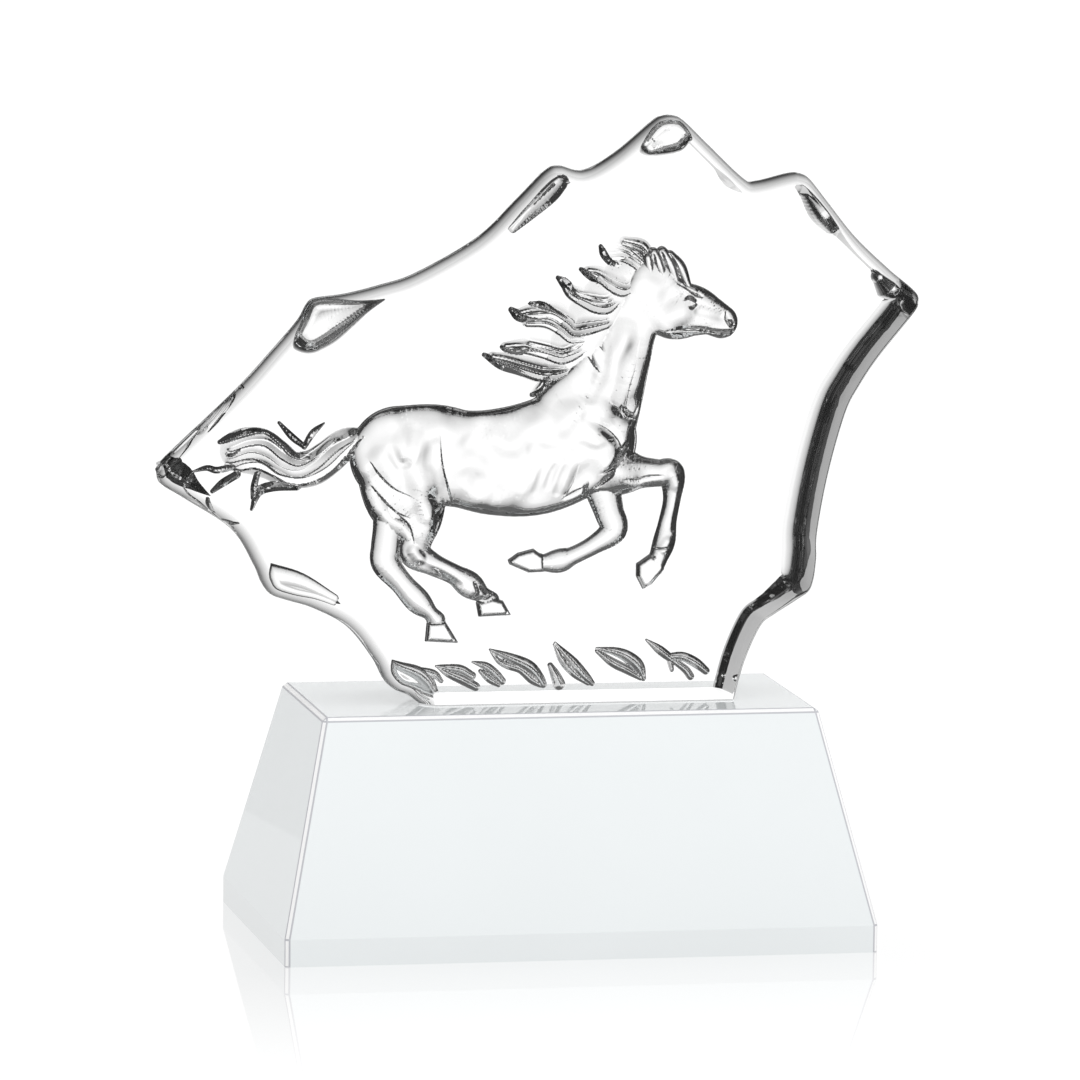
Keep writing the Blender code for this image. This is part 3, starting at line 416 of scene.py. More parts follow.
def smooth_line(stations, steps, closed=False):
    """Points on a smooth curve through the stations."""
    p = np.array(stations, float)
    if closed:
        p = np.vstack([p[-1], p, p[0], p[1]])
    elif len(p) > 2:
        p = np.vstack([2 * p[0] - p[1], p, 2 * p[-1] - p[-2]])
    else:
        return p
    line = []
    for a, b, c, d in zip(p[:-3], p[1:-2], p[2:-1], p[3:]):
        for t in np.arange(steps) / steps:
            line.append(0.5 * (2 * b + (c - a) * t + (2 * a - 5 * b + 4 * c - d) * t ** 2
                               + (3 * b - a - 3 * c + d) * t ** 3))
    if not closed:
        line.append(p[-2])
    return np.array(line)


def beside(lock, shift, width, depth):
    """A stroke on the soft side of a lock's edge; its sizes are times the edge's own."""
    lock = np.array(lock)
    along = np.gradient(lock[:, :2], axis=0)
    left = np.column_stack([-along[:, 1], along[:, 0]]) / np.hypot(*along.T)[:, None]
    place = lock[:, :2] + left * lock[:, 2:3] * shift
    return np.column_stack([place, lock[:, 2] * width, lock[:, 3] * depth])


def tail_mass():
    """The tail's mass as a stroke."""
    top, under = np.array(TAIL_TOP), np.array(TAIL_UNDER)
    width = np.hypot(*(top - under).T)
    depth = np.interp(np.linspace(0, 1, len(top)), (0, 1), TAIL_DEPTHS)
    return np.column_stack([(top + under) / 2, width / 2, depth])


# Carving

class Carving:
    """How deep the back is cut at each of the points (x, z), how near a form's edge it is, and
    how near a fold."""

    def __init__(self, x, z):
        self.x = x
        self.z = z
        self.cut = np.zeros(x.shape)
        self.to_edge = np.full(x.shape, FAR)
        self.to_fold = np.full(x.shape, FAR)

    def stroke(self, stations):
        """Which points are near a tapered stroke, and their place across it, 1 on its edge and
        less than 0 on its right, with its depth and half-width there."""
        line = smooth_line(stations, STROKE_STEPS) / TABLE
        reach = line[:, 2].max() * 2 + 1
        low, high = line.min(0) - reach, line.max(0) + reach
        near = np.nonzero((self.x > low[0]) & (self.x < high[0])
                          & (self.z > low[1]) & (self.z < high[1]))[0]
        x, z = self.x[near], self.z[near]
        place = np.full(x.shape, FAR)
        depth = np.zeros(x.shape)
        width = np.ones(x.shape)
        for a, b in zip(line[:-1], line[1:]):
            dx, dz = b[:2] - a[:2]
            px, pz = x - a[0], z - a[1]
            t = np.clip((px * dx + pz * dz) / (dx * dx + dz * dz), 0, 1)
            half = a[2] + (b[2] - a[2]) * t
            across = np.hypot(px - dx * t, pz - dz * t) / half
            nearer = across < np.abs(place)
            place = np.where(nearer, np.where(dx * pz > dz * px, across, -across), place)
            width = np.where(nearer, half, width)
            depth = np.where(nearer, a[3] + (b[3] - a[3]) * t, depth)
        return near, place, depth, width

    def form(self, stations, fullness=2.0, power=ROUND):
        """A rounded form along a stroke."""
        near, place, depth, width = self.stroke(stations)
        place = np.abs(place)
        self.to_edge[near] = np.minimum(self.to_edge[near], (place - 1) * width)
        found = np.zeros(self.x.shape)
        found[near] = depth * np.clip(1 - np.minimum(place, 1) ** fullness, 0, 1) ** power
        return found

    def swell(self, stations):
        """A soft swelling along a stroke, with no edge of its own."""
        near, place, depth, _ = self.stroke(stations)
        found = np.zeros(self.x.shape)
        found[near] = depth * np.clip(1 - place * place, 0, 1) ** 2
        return found

    def hair(self, masses, locks, finer):
        """Soft masses of hair, with a fold along each lock's edge and along its finer strands."""
        form = np.max([self.form(mass, power=SOFT) for mass in masses], axis=0)
        inside = np.clip(form / STRAND_EDGE, 0, 1)
        for lock in locks:
            for line in [lock] + [beside(lock, *sizes) for sizes in finer]:
                form = form + self.fold(line) * inside
        return form

    def fold(self, stations):
        """A fold along a stroke: a steep step on its line, and a soft slope back on its left."""
        near, place, depth, width = self.stroke(stations)
        self.to_fold[near] = np.minimum(self.to_fold[near], np.abs(place) * width)
        soft = np.clip(1 - place, 0, 1) ** FOLD_EASE
        steep = np.clip(1 + place * width / (FOLD_STEP * (0.5 + depth)), 0, 1)
        found = np.zeros(self.x.shape)
        found[near] = depth * np.where(place > 0, soft, steep)
        return found

    def hoof(self, corners, depth):
        """A flat form with straight edges, rounded down to them."""
        c = np.array(corners) / TABLE
        turn = sum(a[0] * b[1] - a[1] * b[0] for a, b in zip(c, np.roll(c, -1, 0)))
        inside = np.full(self.x.shape, FAR)
        for a, b in zip(c, np.roll(c, -1, 0)):
            dx, dz = (b - a) * math.copysign(1, turn)
            inside = np.minimum(inside, (dx * (self.z - a[1]) - dz * (self.x - a[0])) / math.hypot(dx, dz))
        self.to_edge = np.minimum(self.to_edge, -inside)
        rise = np.clip(inside / HOOF_SLOPE, 0, 1)
        return depth / TABLE * np.sqrt(1 - (1 - rise) ** 2)

    def scoops(self):
        """The scoops at the plaque's peaks."""
        return np.max([self.form(stations, *section) for *section, stations in SCOOPS], axis=0)

    def lay(self, *forms):
        """Cut the forms in, each as far as it is the deepest."""
        self.cut = np.max([self.cut, *forms], axis=0)


def blend(a, b):
    """The deeper of two forms, with the valley between them eased where both are cut."""
    near = np.clip(1 - np.abs(a - b) / BODY_BLEND, 0, 1)
    both = np.clip(np.minimum(a, b) / BODY_BLEND, 0, 1)
    return np.maximum(a, b) + BODY_BLEND / 4 * near * near * both


def waves(x, z):
    """Low waves all over the hand-cut body."""
    return sum(height * np.sin(2 * math.pi * (x * kx + z * kz) + start) for kx, kz, start, height in WAVES)


def carve(x, z):
    """Depth of the carving at the points, how near a form's edge they are, and how near a fold."""
    c = Carving(x, z)
    c.lay(c.hair([tail_mass()], TAIL_STRANDS, TAIL_FINER))
    c.lay(*[c.form(tip, *SPIKE) for tip in TAIL_TIPS], c.form(FAR_HIND_LEG), c.form(FAR_FORELEG))
    body = c.cut * 0
    for part, fullness in BODY:
        body = blend(body, c.form(part, fullness))
    inside = np.clip(body / MODELLING_EDGE, 0, 1)
    relief = waves(x, z)
    for stations in SWELLINGS + FACE_SWELLINGS:
        relief = relief + c.swell(stations)
    for stations in FOLDS + FACE_FOLDS:
        relief = relief - c.fold(stations)
    c.lay(body + relief * inside)
    c.lay(*[c.hoof(corners, depth) for corners, depth in HOOVES])
    c.lay(c.hair([MANE_ROOT] + [beside(lock, *HAIR_BODY) for lock in LOCKS], LOCKS, MANE_FINER))
    c.lay(*[c.form(tip, *SPIKE) for tip in LOCK_TIPS])
    hair = np.max([c.form(stroke) for stroke in FORELOCK], axis=0)
    for fold in FORELOCK_FOLDS:
        hair = hair - c.fold(fold) * np.clip(hair, 0, 1)
    c.lay(hair)
    for stroke in GRASS:
        blade = c.form([(x, z, half, half * BLADE_DEPTH) for x, z, half in stroke], power=BLADE_EDGE)
        rib = c.fold([(x, z, half, half * BLADE_RIB) for x, z, half in stroke])
        c.lay(blade + rib * np.clip(blade / RIB_EDGE, 0, 1))
    c.lay(c.scoops())
    return c.cut, c.to_edge, c.to_fold


# Outline

def thin_out(line):
    """Fewer points on a closed line, still within OUTLINE_STRAY of it."""
    kept = [0]
    for i in range(1, len(line)):
        a = line[kept[-1]]
        ab = line[(i + 1) % len(line)] - a
        length = math.hypot(*ab)
        between = line[kept[-1] + 1:i + 1] - a
        off = np.abs(between[:, 0] * ab[1] - between[:, 1] * ab[0]).max() / max(length, 1e-9)
        if off > OUTLINE_STRAY / UNIT or length > OUTLINE_STEP / UNIT:
            kept.append(i)
    return line[kept]


def plaque_outline():
    """The plaque's outline, kept within the box of its CAD."""
    line = thin_out(smooth_line(OUTLINE, CURVE_STEPS, closed=True) / TABLE)
    line[:, 0] = np.clip(line[:, 0], PLAQUE_LOW.x / UNIT, PLAQUE_HIGH.x / UNIT)
    line[:, 1] = np.minimum(line[:, 1], (PLAQUE_HIGH.z - PLAQUE_LOW.z) / UNIT)
    return line


def inward_normals(line):
    """Unit normals pointing into a clockwise closed line."""
    along = np.roll(line, -1, 0) - np.roll(line, 1, 0)
    normal = np.column_stack([along[:, 1], -along[:, 0]])
    return normal / np.linalg.norm(normal, axis=1)[:, None]


def nearest_on(line, x, z):
    """Distance from each point to a closed line, and where on it the nearest place is."""
    nearest = np.full(x.shape, FAR)
    where = np.zeros(x.shape)
    for k, (a, b) in enumerate(zip(line, np.roll(line, -1, 0))):
        dx, dz = b - a
        t = np.clip(((x - a[0]) * dx + (z - a[1]) * dz) / (dx * dx + dz * dz), 0, 1)
        gap = np.hypot(x - a[0] - dx * t, z - a[1] - dz * t)
        nearer = gap < nearest
        nearest = np.where(nearer, gap, nearest)
        where = np.where(nearer, k + t, where)
    return nearest, where


def wall_lean(line, normals):
    """How far in the back rim lies at each point of the outline, before any scoop, how wide the
    front rim is rounded there and how much the wall bulges."""
    facing = np.degrees(np.arctan2(-normals[:, 1], -normals[:, 0]))
    angles, leans, rounds, bulges = np.array(WALLS).T
    low = (line[:, 1] < FOOT_WALL_HEIGHT) & (np.abs(facing) < 80)
    along = np.cumsum(np.hypot(*(np.roll(line, -1, 0) - line).T))
    even = np.linspace(0, along[-1], 2 * len(line))
    window = np.hanning(2 * int(LEAN_EASE / (even[1] - even[0])) + 3)
    n = len(window)
    found = []
    for sizes, foot, unit in zip((leans, rounds, bulges), FOOT_WALL, (UNIT, UNIT, 1)):
        eased = np.where(low, foot, np.interp(facing, angles, sizes, period=360)) / unit
        eased = np.interp(even, along, eased)
        eased = np.concatenate([eased[-n:], eased, eased[:n]])
        eased = np.convolve(eased, window / window.sum(), "same")[n:-n]
        found.append(np.interp(along, even, eased))
    return found


def along_outline(sizes, where):
    """A size that is given at each point of the outline, read between its points."""
    return np.interp(where, np.arange(len(sizes) + 1), np.append(sizes, sizes[0]))


def inset(line, normals, by):
    """The closed line moved inwards; points that would cross at a peak are left out."""
    moved = line + normals * by[:, None]
    gap = nearest_on(line, *moved.T)[0]
    return moved[gap > by * CROSSING]


def wall_rise(share, bulge):
    """How far back a side wall has come, for how far it has leaned in; both are shares."""
    return share + (np.interp(share, BULGE_GAPS, BULGE_RISES) - share) * bulge


def rim_inset(line, normals, lean, bulge):
    """How far in the back rim lies at each point of the outline: less where a scoop takes it."""
    rise = (PLAQUE_THICKNESS - FRONT_ROUND) / UNIT
    by = lean.copy()
    undecided = np.ones(len(line), bool)
    for share in RIM_SHARES:
        at = line + normals * (lean * share)[:, None]
        cut = Carving(*at.T).scoops()
        meets = undecided & (wall_rise(share, bulge) * rise >= rise - cut)
        by[meets] = lean[meets] * share
        undecided &= ~meets
    return by


def within(rim, x, z):
    """Which points lie inside a closed line."""
    crossed = np.zeros(len(x), int)
    for a, b in zip(rim, np.roll(rim, -1, 0)):
        level = (a[1] > z) != (b[1] > z)
        if level.any():
            crossed += level & (a[0] + (z - a[1]) / (b[1] - a[1]) * (b[0] - a[0]) > x)
    return crossed % 2 == 1


# Mesh of the plaque

def read(items, name, width=1, kind=np.int32):
    """One property of all of a mesh's items, in rows."""
    values = np.empty(len(items) * width, kind)
    items.foreach_get(name, values)
    return values.reshape(-1, width) if width > 1 else values


def lattice(rim, step, staggered):
    """Evenly spaced places over the back, in rows, every second row moved by half a step."""
    row_step = step * (STAGGERED_ROW if staggered else 1)
    rows = np.arange(max(rim[:, 1].min(), -FOOT_MARGIN), rim[:, 1].max(), row_step)
    columns = np.arange(rim[:, 0].min(), rim[:, 0].max() + step, step)
    x, z = np.meshgrid(columns, rows)
    if staggered:
        x[::2] += step / 2
    return x, z


def back_points(rim, step):
    """Points on the back: closest together by edges and folds, further apart inside the forms,
    and furthest on the flat."""
    found = []
    for spacing in (step, step * COARSER, FLAT_STEP / UNIT):
        x, z = lattice(rim, spacing, True)
        x, z = x.ravel(), z.ravel()
        _, edge, fold = carve(x, z)
        carved = edge < -step * EDGE_CLEARANCE
        reach = DETAIL_REACH if spacing == step else DETAIL_REACH + step * LATTICE_GAP
        detailed = carved & ((edge > -reach) | (fold < reach))
        if spacing == step:
            kept = detailed
        elif spacing == step * COARSER:
            kept = carved & ~detailed
        else:
            kept = edge > step * EDGE_CLEARANCE
        found.append(np.column_stack([x, z])[kept])
    points = np.vstack(found)
    clear = nearest_on(rim, *points.T)[0] > step * EDGE_CLEARANCE
    return points[clear & within(rim, *points.T)]


def form_edges(rim, step):
    """Short straight pieces along the edges of the carved forms, as points and pairs of them."""
    x, z = lattice(rim, step, False)
    gap = carve(x.ravel(), z.ravel())[1].reshape(x.shape)
    inside = gap < 0
    points = []
    numbers = []
    for down, along in ((0, 1), (1, 0)):
        here = (slice(0, x.shape[0] - down), slice(0, x.shape[1] - along))
        there = (slice(down, None), slice(along, None))
        crossed = inside[here] != inside[there]
        t = gap[here][crossed] / (gap[here][crossed] - gap[there][crossed])
        t = np.clip(t, EDGE_SNAP, 1 - EDGE_SNAP) * step
        number = np.full(crossed.shape, -1)
        number[crossed] = np.arange(crossed.sum()) + sum(len(p) for p in points)
        points.append(np.column_stack([x[here][crossed] + along * t, z[here][crossed] + down * t]))
        numbers.append(number)
    level, upright = numbers
    cells = np.stack([level[:-1], upright[:, :-1], level[1:], upright[:, 1:]], -1).reshape(-1, 4)
    count = (cells >= 0).sum(1)
    twos = cells[count == 2]
    fours = cells[count == 4]
    pairs = np.vstack([twos[twos >= 0].reshape(-1, 2), fours[:, :2], fours[:, 2:]])
    points = np.vstack(points)
    kept = (nearest_on(rim, *points.T)[0] > RIM_CLEARANCE) & within(rim, *points.T)
    number = np.cumsum(kept) - 1
    return points[kept], number[pairs[kept[pairs].all(1)]]


def sheet(loops, creases, pairs, points):
    """Triangles over the outline, through its inset loops, creases and points. Gives the places,
    the faces, which loop and place on it each came from, and which lie on a crease."""
    flat = np.vstack(loops + [creases, points])
    edges = []
    start = 0
    for loop in loops:
        n = len(loop)
        edges += [(start + i, start + (i + 1) % n) for i in range(n)]
        start += n
    edges += [(start + int(a), start + int(b)) for a, b in pairs]
    verts, _, faces, origin, _, _ = delaunay_2d_cdt([Vector(p) for p in flat], edges, [], 1, MERGE)
    place = np.array([(v.x, v.y) for v in verts])
    first = np.array([min(sources) if sources else len(flat) for sources in origin])
    creased = np.array([any(start <= s < start + len(creases) for s in sources) for sources in origin])
    return place, np.array(faces), first, creased


def plaque_mesh(step):
    """The plaque, its foot at height zero, as mesh data with four materials: polished faces,
    the carving, the side walls and the foot."""
    line = plaque_outline()
    normals = inward_normals(line)
    n = len(line)
    front_y = -PLAQUE_THICKNESS / 2
    back_y = PLAQUE_THICKNESS / 2
    widest_y = front_y + FRONT_ROUND
    lean, rounding, bulge = wall_lean(line, normals)
    none = np.zeros((0, 2))

    turns = math.pi / 2 * np.arange(1, FRONT_ROUND_FACETS + 1) / FRONT_ROUND_FACETS
    loops = [line] + [inset(line, normals, rounding * (1 - math.cos(turn))) for turn in turns]
    loops.append(inset(line, normals, rounding * FRONT_BORDER))
    front, front_faces, front_first, _ = sheet(loops, none, [], none)
    gap, where = nearest_on(line, *front.T)
    gap = 1 - np.minimum(gap / along_outline(rounding, where), 1)
    front_depth = front_y + FRONT_ROUND * (1 - np.sqrt(1 - gap ** 2))

    by = rim_inset(line, normals, lean, bulge)
    rim = inset(line, normals, by)
    points = back_points(rim, step)
    creases, pairs = form_edges(rim, step)
    walls = [inset(line, normals, by * share) for share in BULGE_GAPS[1:-1]]
    back, back_faces, back_first, creased = sheet([line] + walls + [rim], creases, pairs, points)
    gap, where = nearest_on(line, *back.T)
    gap = np.minimum(gap / along_outline(lean, where), 1)
    cut = np.where(creased, 0, carve(*back.T)[0])
    wall = widest_y + (back_y - widest_y) * wall_rise(gap, along_outline(bulge, where))
    back_depth = np.minimum(wall, back_y - cut * UNIT)
    rim_first = n + sum(len(wall) for wall in walls)
    on_rim = (back_first >= rim_first) & (back_first < rim_first + len(rim))

    places = [np.column_stack([line[:, 0] * UNIT, np.full(n, widest_y), line[:, 1] * UNIT])]
    faces = []
    sharp = [np.zeros(n, int)]
    for place, depth, first, side, flip, mark in (
            (front, front_depth, front_first, front_faces, False, np.zeros(len(front), int)),
            (back, back_depth, back_first, back_faces, True, np.where(creased, 1, np.where(on_rim, 2, 0)))):
        new = first >= n
        number = np.where(new, np.cumsum(new) - 1 + sum(len(p) for p in places), first)
        places.append(np.column_stack([place[:, 0] * UNIT, depth, place[:, 1] * UNIT])[new])
        sharp.append(mark[new])
        side = number[side]
        faces.append(side[:, ::-1] if flip else side)

    middle = back[back_faces].mean(1)
    on_wall = ~within(rim, *middle.T)
    carved = (back_depth[back_faces] < back_y - 1e-6).any(1) & ~on_wall
    kind = np.concatenate([np.zeros(len(front_faces), int), np.where(on_wall, 2, np.where(carved, 1, 0))])

    data = bpy.data.meshes.new("plaque_glass")
    data.from_pydata(np.vstack(places).tolist(), [], np.vstack(faces).tolist())
    data.polygons.foreach_set("material_index", kind.astype(np.int32))
    mark = np.concatenate(sharp)
    a, b = mark[read(data.edges, "vertices", 2)].T
    data.edges.foreach_set("use_edge_sharp", (a > 0) & (a == b))
    cut_off_foot(data)
    shade_back(data, line, normals)
    return data


def cut_off_foot(data):
    """Cut the plaque flat at its foot and close it there."""
    mesh = bmesh.new()
    mesh.from_mesh(data)
    everything = list(mesh.verts) + list(mesh.edges) + list(mesh.faces)
    bmesh.ops.bisect_plane(mesh, geom=everything, dist=SEAT_SNAP, use_snap_center=True,
                           plane_co=(0, 0, 0), plane_no=(0, 0, -1), clear_outer=True)
    flattened = [f for f in mesh.faces if all(vert.co.z < SEAT_SNAP for vert in f.verts)]
    bmesh.ops.delete(mesh, geom=flattened, context="FACES")
    rim = [e for e in mesh.edges if e.is_boundary]
    foot = bmesh.ops.contextual_create(mesh, geom=rim)["faces"]
    for edge in rim:
        edge.smooth = False
    for face in foot:
        face.material_index = 3
    bmesh.ops.triangulate(mesh, faces=foot)
    bmesh.ops.recalc_face_normals(mesh, faces=mesh.faces)
    for face in mesh.faces:
        face.smooth = True
    mesh.to_mesh(data)
    mesh.free()


def shade_back(data, line, normals):
    """Shade the carved faces by the true slope of the carving at each of their corners, and each
    band of the walls by its own lean and the way that the outline faces. A slope that was read
    across a step gives way to the flat face's."""
    sizes = read(data.polygons, "loop_total")
    kind = read(data.polygons, "material_index")
    flat = read(data.polygons, "normal", 3, float)
    places = read(data.vertices, "co", 3, float)
    corners = places[read(data.loops, "vertex_index")][:, [0, 2]] / UNIT
    middles = np.add.reduceat(corners, np.cumsum(sizes) - sizes) / sizes[:, None]
    result = np.zeros((len(corners), 3))

    carved = np.repeat(kind == 1, sizes)
    x, z = (corners * (1 - CORNER_SHIFT) + np.repeat(middles, sizes, axis=0) * CORNER_SHIFT)[carved].T
    here = carve(x, z)[0]
    right, up = ((carve(x + SLOPE_STEP * a, z + SLOPE_STEP * b)[0] - here) / SLOPE_STEP
                 for a, b in ((1, 0), (0, 1)))
    slope = np.column_stack([right, np.ones(len(x)), up])
    slope /= np.linalg.norm(slope, axis=1)[:, None]
    level = np.repeat(flat, sizes, axis=0)[carved]
    astray = (slope * level).sum(1) < ASTRAY
    result[carved] = np.where(astray[:, None], level, slope)

    wall = np.repeat(kind == 2, sizes)
    where = nearest_on(line, *corners[wall].T)[1]
    back = np.repeat(flat[:, 1], sizes)[wall]
    rounded = np.array([normal.vector.y for normal in data.corner_normals])[wall]
    back = np.where(back > ROUNDED, rounded, back)
    outward = -np.column_stack([along_outline(normals[:, i], where) for i in (0, 1)])
    outward *= (np.sqrt(1 - back ** 2) / np.linalg.norm(outward, axis=1))[:, None]
    result[wall] = np.column_stack([outward[:, 0], back, outward[:, 1]])
    data.normals_split_custom_set(result.tolist())


# Mesh of the plinth

def plinth_mesh(arris, painted_shade_line_width):
    """An upright band with four slopes above it, its edges ground to narrow bevels."""
    mesh = bmesh.new()
    levels = [(PLINTH_WIDTH, PLINTH_DEPTH, 0), (PLINTH_WIDTH, PLINTH_DEPTH, PLINTH_BAND),
              (PLINTH_TOP_WIDTH, PLINTH_TOP_DEPTH, PLINTH_HIGH.z)]
    corners = ((-0.5, -0.5), (0.5, -0.5), (0.5, 0.5), (-0.5, 0.5))
    rings = [[mesh.verts.new((x * w, y * d, z)) for x, y in corners] for w, d, z in levels]
    mesh.faces.new(rings[0][::-1])
    mesh.faces.new(rings[-1])
    for low, high in zip(rings[:-1], rings[1:]):
        for i in range(4):
            j = (i + 1) % 4
            mesh.faces.new((low[i], low[j], high[j], high[i]))
    top = [e for e in mesh.edges if all(v in rings[2] for v in e.verts)]
    upright = [e for e in mesh.edges if abs(e.verts[0].co.z - e.verts[1].co.z) > PLINTH_BAND / 2]
    # Material 1 colours these bevels lighter than the faces: a painted highlight.
    bmesh.ops.bevel(mesh, geom=top + upright, offset=arris, segments=1, affect="EDGES", material=1)
    lines = [e for e in mesh.edges if any(f.material_index == 1 for f in e.link_faces)]
    # Material 2 colours these fine lines grey, as painted shade.
    bmesh.ops.bevel(mesh, geom=lines, offset=painted_shade_line_width, segments=2, profile=0.5, affect="EDGES",
                    material=2)
    low = min(vert.co.z for vert in mesh.verts)
    for vert in mesh.verts:
        vert.co.z -= low
        vert.co = [min(max(v, a), b) for v, a, b in zip(vert.co, PLINTH_LOW, PLINTH_HIGH)]
    data = bpy.data.meshes.new("plinth_glass")
    mesh.to_mesh(data)
    mesh.free()
    return data


# Materials

def add(tree, kind, inputs=(), out=0, stops=(), **settings):
    """Add a node with its settings, its sockets' values or links, by name or in order, and a ramp's
    stops. Gives one of its outputs, or the node itself."""
    node = tree.nodes.new("ShaderNode" + kind)
    for name, value in settings.items():
        setattr(node, name, value)
    for socket, value in inputs.items() if isinstance(inputs, dict) else enumerate(inputs):
        if isinstance(value, bpy.types.NodeSocket):
            tree.links.new(value, node.inputs[socket])
        else:
            node.inputs[socket].default_value = value
    for k, (place, level) in enumerate(stops):
        ramp = node.color_ramp.elements
        stop = ramp[k] if k < 2 else ramp.new(place)
        stop.position = place
        stop.color = level if isinstance(level, tuple) else (level, level, level, 1.0)
    return node if out is None else node.outputs[out]


def new_tree(holder):
    """A material or world, and its node tree, made empty."""
    holder.use_nodes = True
    holder.node_tree.nodes.clear()
    return holder, holder.node_tree


def clear_glass(name, *layers):
    """Low-iron moulded glass. The layers are the (size, height) in metres of the unevenness that
    the mould and the polishing wheel left; it bends what shows through the glass a little."""
    material, tree = new_tree(bpy.data.materials.new(name))
    place = add(tree, "TexCoord", out="Object")
    normal = {}
    for size, height in layers:
        noise = add(tree, "TexNoise", {"Vector": place, "Scale": 1 / size, "Detail": 2.0})
        bump = {"Strength": 1.0, "Distance": height, "Height": noise, **normal}
        normal = {"Normal": add(tree, "Bump", bump)}
    shader = add(tree, "BsdfPrincipled", {
        "Base Color": WHITE, "Metallic": 0.0, "Roughness": 0.0, "IOR": 1.52,
        "Transmission Weight": 1.0, **normal})
    add(tree, "OutputMaterial", [shader], None)
    return material


def cement_with_painted_glow_and_shade():
    """The plaque's foot, where cement holds it to the white glass, in painted light: its dark grey colour
    is painted shade, and it glows as a painted reflection of the white glass around, the brighter the more
    edge-on it is seen, in faint uneven patches."""
    material, tree = new_tree(bpy.data.materials.new("cement_painted_glow_and_shade"))
    place = add(tree, "TexCoord", out="Object")
    glow_unevenness = add(tree, "TexNoise", {"Vector": place, "Scale": 1 / 0.004, "Detail": 2.0})
    along = add(tree, "LayerWeight", {"Blend": 0.5}, "Facing")
    painted_glow = add(tree, "MapRange", [along, 0.3, 0.85, 0.08, 1.0])
    glow_patches = add(tree, "MapRange", [glow_unevenness, 0.0, 1.0, 0.9, 1.05])
    painted_glow = add(tree, "Math", [painted_glow, glow_patches], operation="MULTIPLY")
    # Painted light: the dark base colour is painted shade and the emission is a painted glow, not lamp
    # light.
    shader = add(tree, "BsdfPrincipled", {
        "Base Color": to_linear(0x3A3C3C), "Metallic": 0.0, "Roughness": 0.3, "IOR": 1.5,
        "Emission Color": WHITE, "Emission Strength": painted_glow})
    add(tree, "OutputMaterial", [shader], None)
    return material


def opal_glass(name, colour, grind):
    """White opal glass. Its body scatters light evenly, with clouds too faint to see as such,
    under a gloss that the grinding left sharp or dull. Grind is the least and most roughness."""
    material, tree = new_tree(bpy.data.materials.new(name))
    place = add(tree, "TexCoord", out="Object")
    clouds = add(tree, "TexNoise", {"Vector": place, "Scale": 1 / 0.04, "Detail": 3.0})
    stops = [(at, (*[c * tone for c in colour[:3]], 1.0)) for at, tone in ((0.3, 0.985), (0.7, 1.0))]
    body = add(tree, "ValToRGB", [clouds], stops=stops)
    marks = add(tree, "TexNoise", {"Vector": place, "Scale": 1 / 0.003, "Detail": 2.0})
    wear = add(tree, "MapRange", [marks, 0.0, 1.0, *grind])
    shader = add(tree, "BsdfPrincipled", {
        "Base Color": body, "Metallic": 0.0, "IOR": 1.5, "Roughness": wear})
    add(tree, "OutputMaterial", [shader], None)
    return material


# Pieces

def add_piece(name, data, materials, node):
    """Put a mesh in the scene as a piece that stands for a CAD node."""
    for material in materials:
        data.materials.append(material)
    piece = bpy.data.objects.new(name, data)
    bpy.context.scene.collection.objects.link(piece)
    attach(piece, "root")
    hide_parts(node)
    return piece


class MESH_OT_trophy_plaque(bpy.types.Operator):
    """Add the clear glass plaque with its carved horse"""

    bl_idname = "mesh.trophy_plaque"
    bl_label = "Plaque"

    def execute(self, context):
        settings = context.scene.horse_trophy
        data = plaque_mesh(settings.carving_step / UNIT)
        data.transform(Matrix.Translation((0, 0, PLAQUE_LOW.z)))
        if not data.polygons:
            raise RuntimeError("The plaque came out empty")
        polished = clear_glass("polished_clear_glass", (0.03, 0.00001), (0.004, 0.0000003))
        moulded = clear_glass("moulded_clear_glass", (0.0025, 0.000010), (0.0005, 0.000002))
        edges = clear_glass("fire_polished_edge_glass", (0.006, 0.000015), (0.0012, 0.000001))
        # The foot's material paints its shade and a glow.
        materials = [polished, moulded, edges, cement_with_painted_glow_and_shade()]
        add_piece("plaque_glass", data, materials, "plaque")
        return {"FINISHED"}


class MESH_OT_trophy_plinth(bpy.types.Operator):
    """Add the white glass plinth"""

    bl_idname = "mesh.trophy_plinth"
    bl_label = "Plinth"

    def execute(self, context):
        settings = context.scene.horse_trophy
        data = plinth_mesh(settings.arris, settings.painted_shade_line_width)
        faces = opal_glass("polished_white_opal_glass", settings.white_glass, (0.02, 0.05))
        # The bevels' near-white colour, lighter than the faces, is a painted highlight.
        highlight_painted_bevels = opal_glass("white_glass_bevel_painted_highlight", to_linear(0xFDFDFD), (0.02, 0.04))
        # The fine lines' grey colour is painted shade.
        edges = opal_glass("white_glass_edge_painted_shade_line", to_linear(0xC2C3C8), (0.3, 0.4))
        add_piece("plinth_glass", data, [faces, highlight_painted_bevels, edges], "plinth")
        return {"FINISHED"}


# Stage

def ray_kinds(tree, diffuse, glossy, through, camera):
    """One value chosen by the kind of ray: mirrored, passed on through glass, straight from the
    camera, or scattered by a matt surface on the way. Light that has bounced about in the glass
    for long is nearly spent."""
    path = add(tree, "LightPath", out=None).outputs
    long = add(tree, "Math", [path["Ray Depth"], LONG_PATH], operation="GREATER_THAN")
    value = glossy
    for test, level in ((path["Is Transmission Ray"], through), (path["Is Camera Ray"], camera),
                        (path["Diffuse Depth"], diffuse), (long, SPENT)):
        value = add(tree, "Mix", {0: test, 2: value, 3: level}, data_type="FLOAT")
    return value, path["Is Camera Ray"]


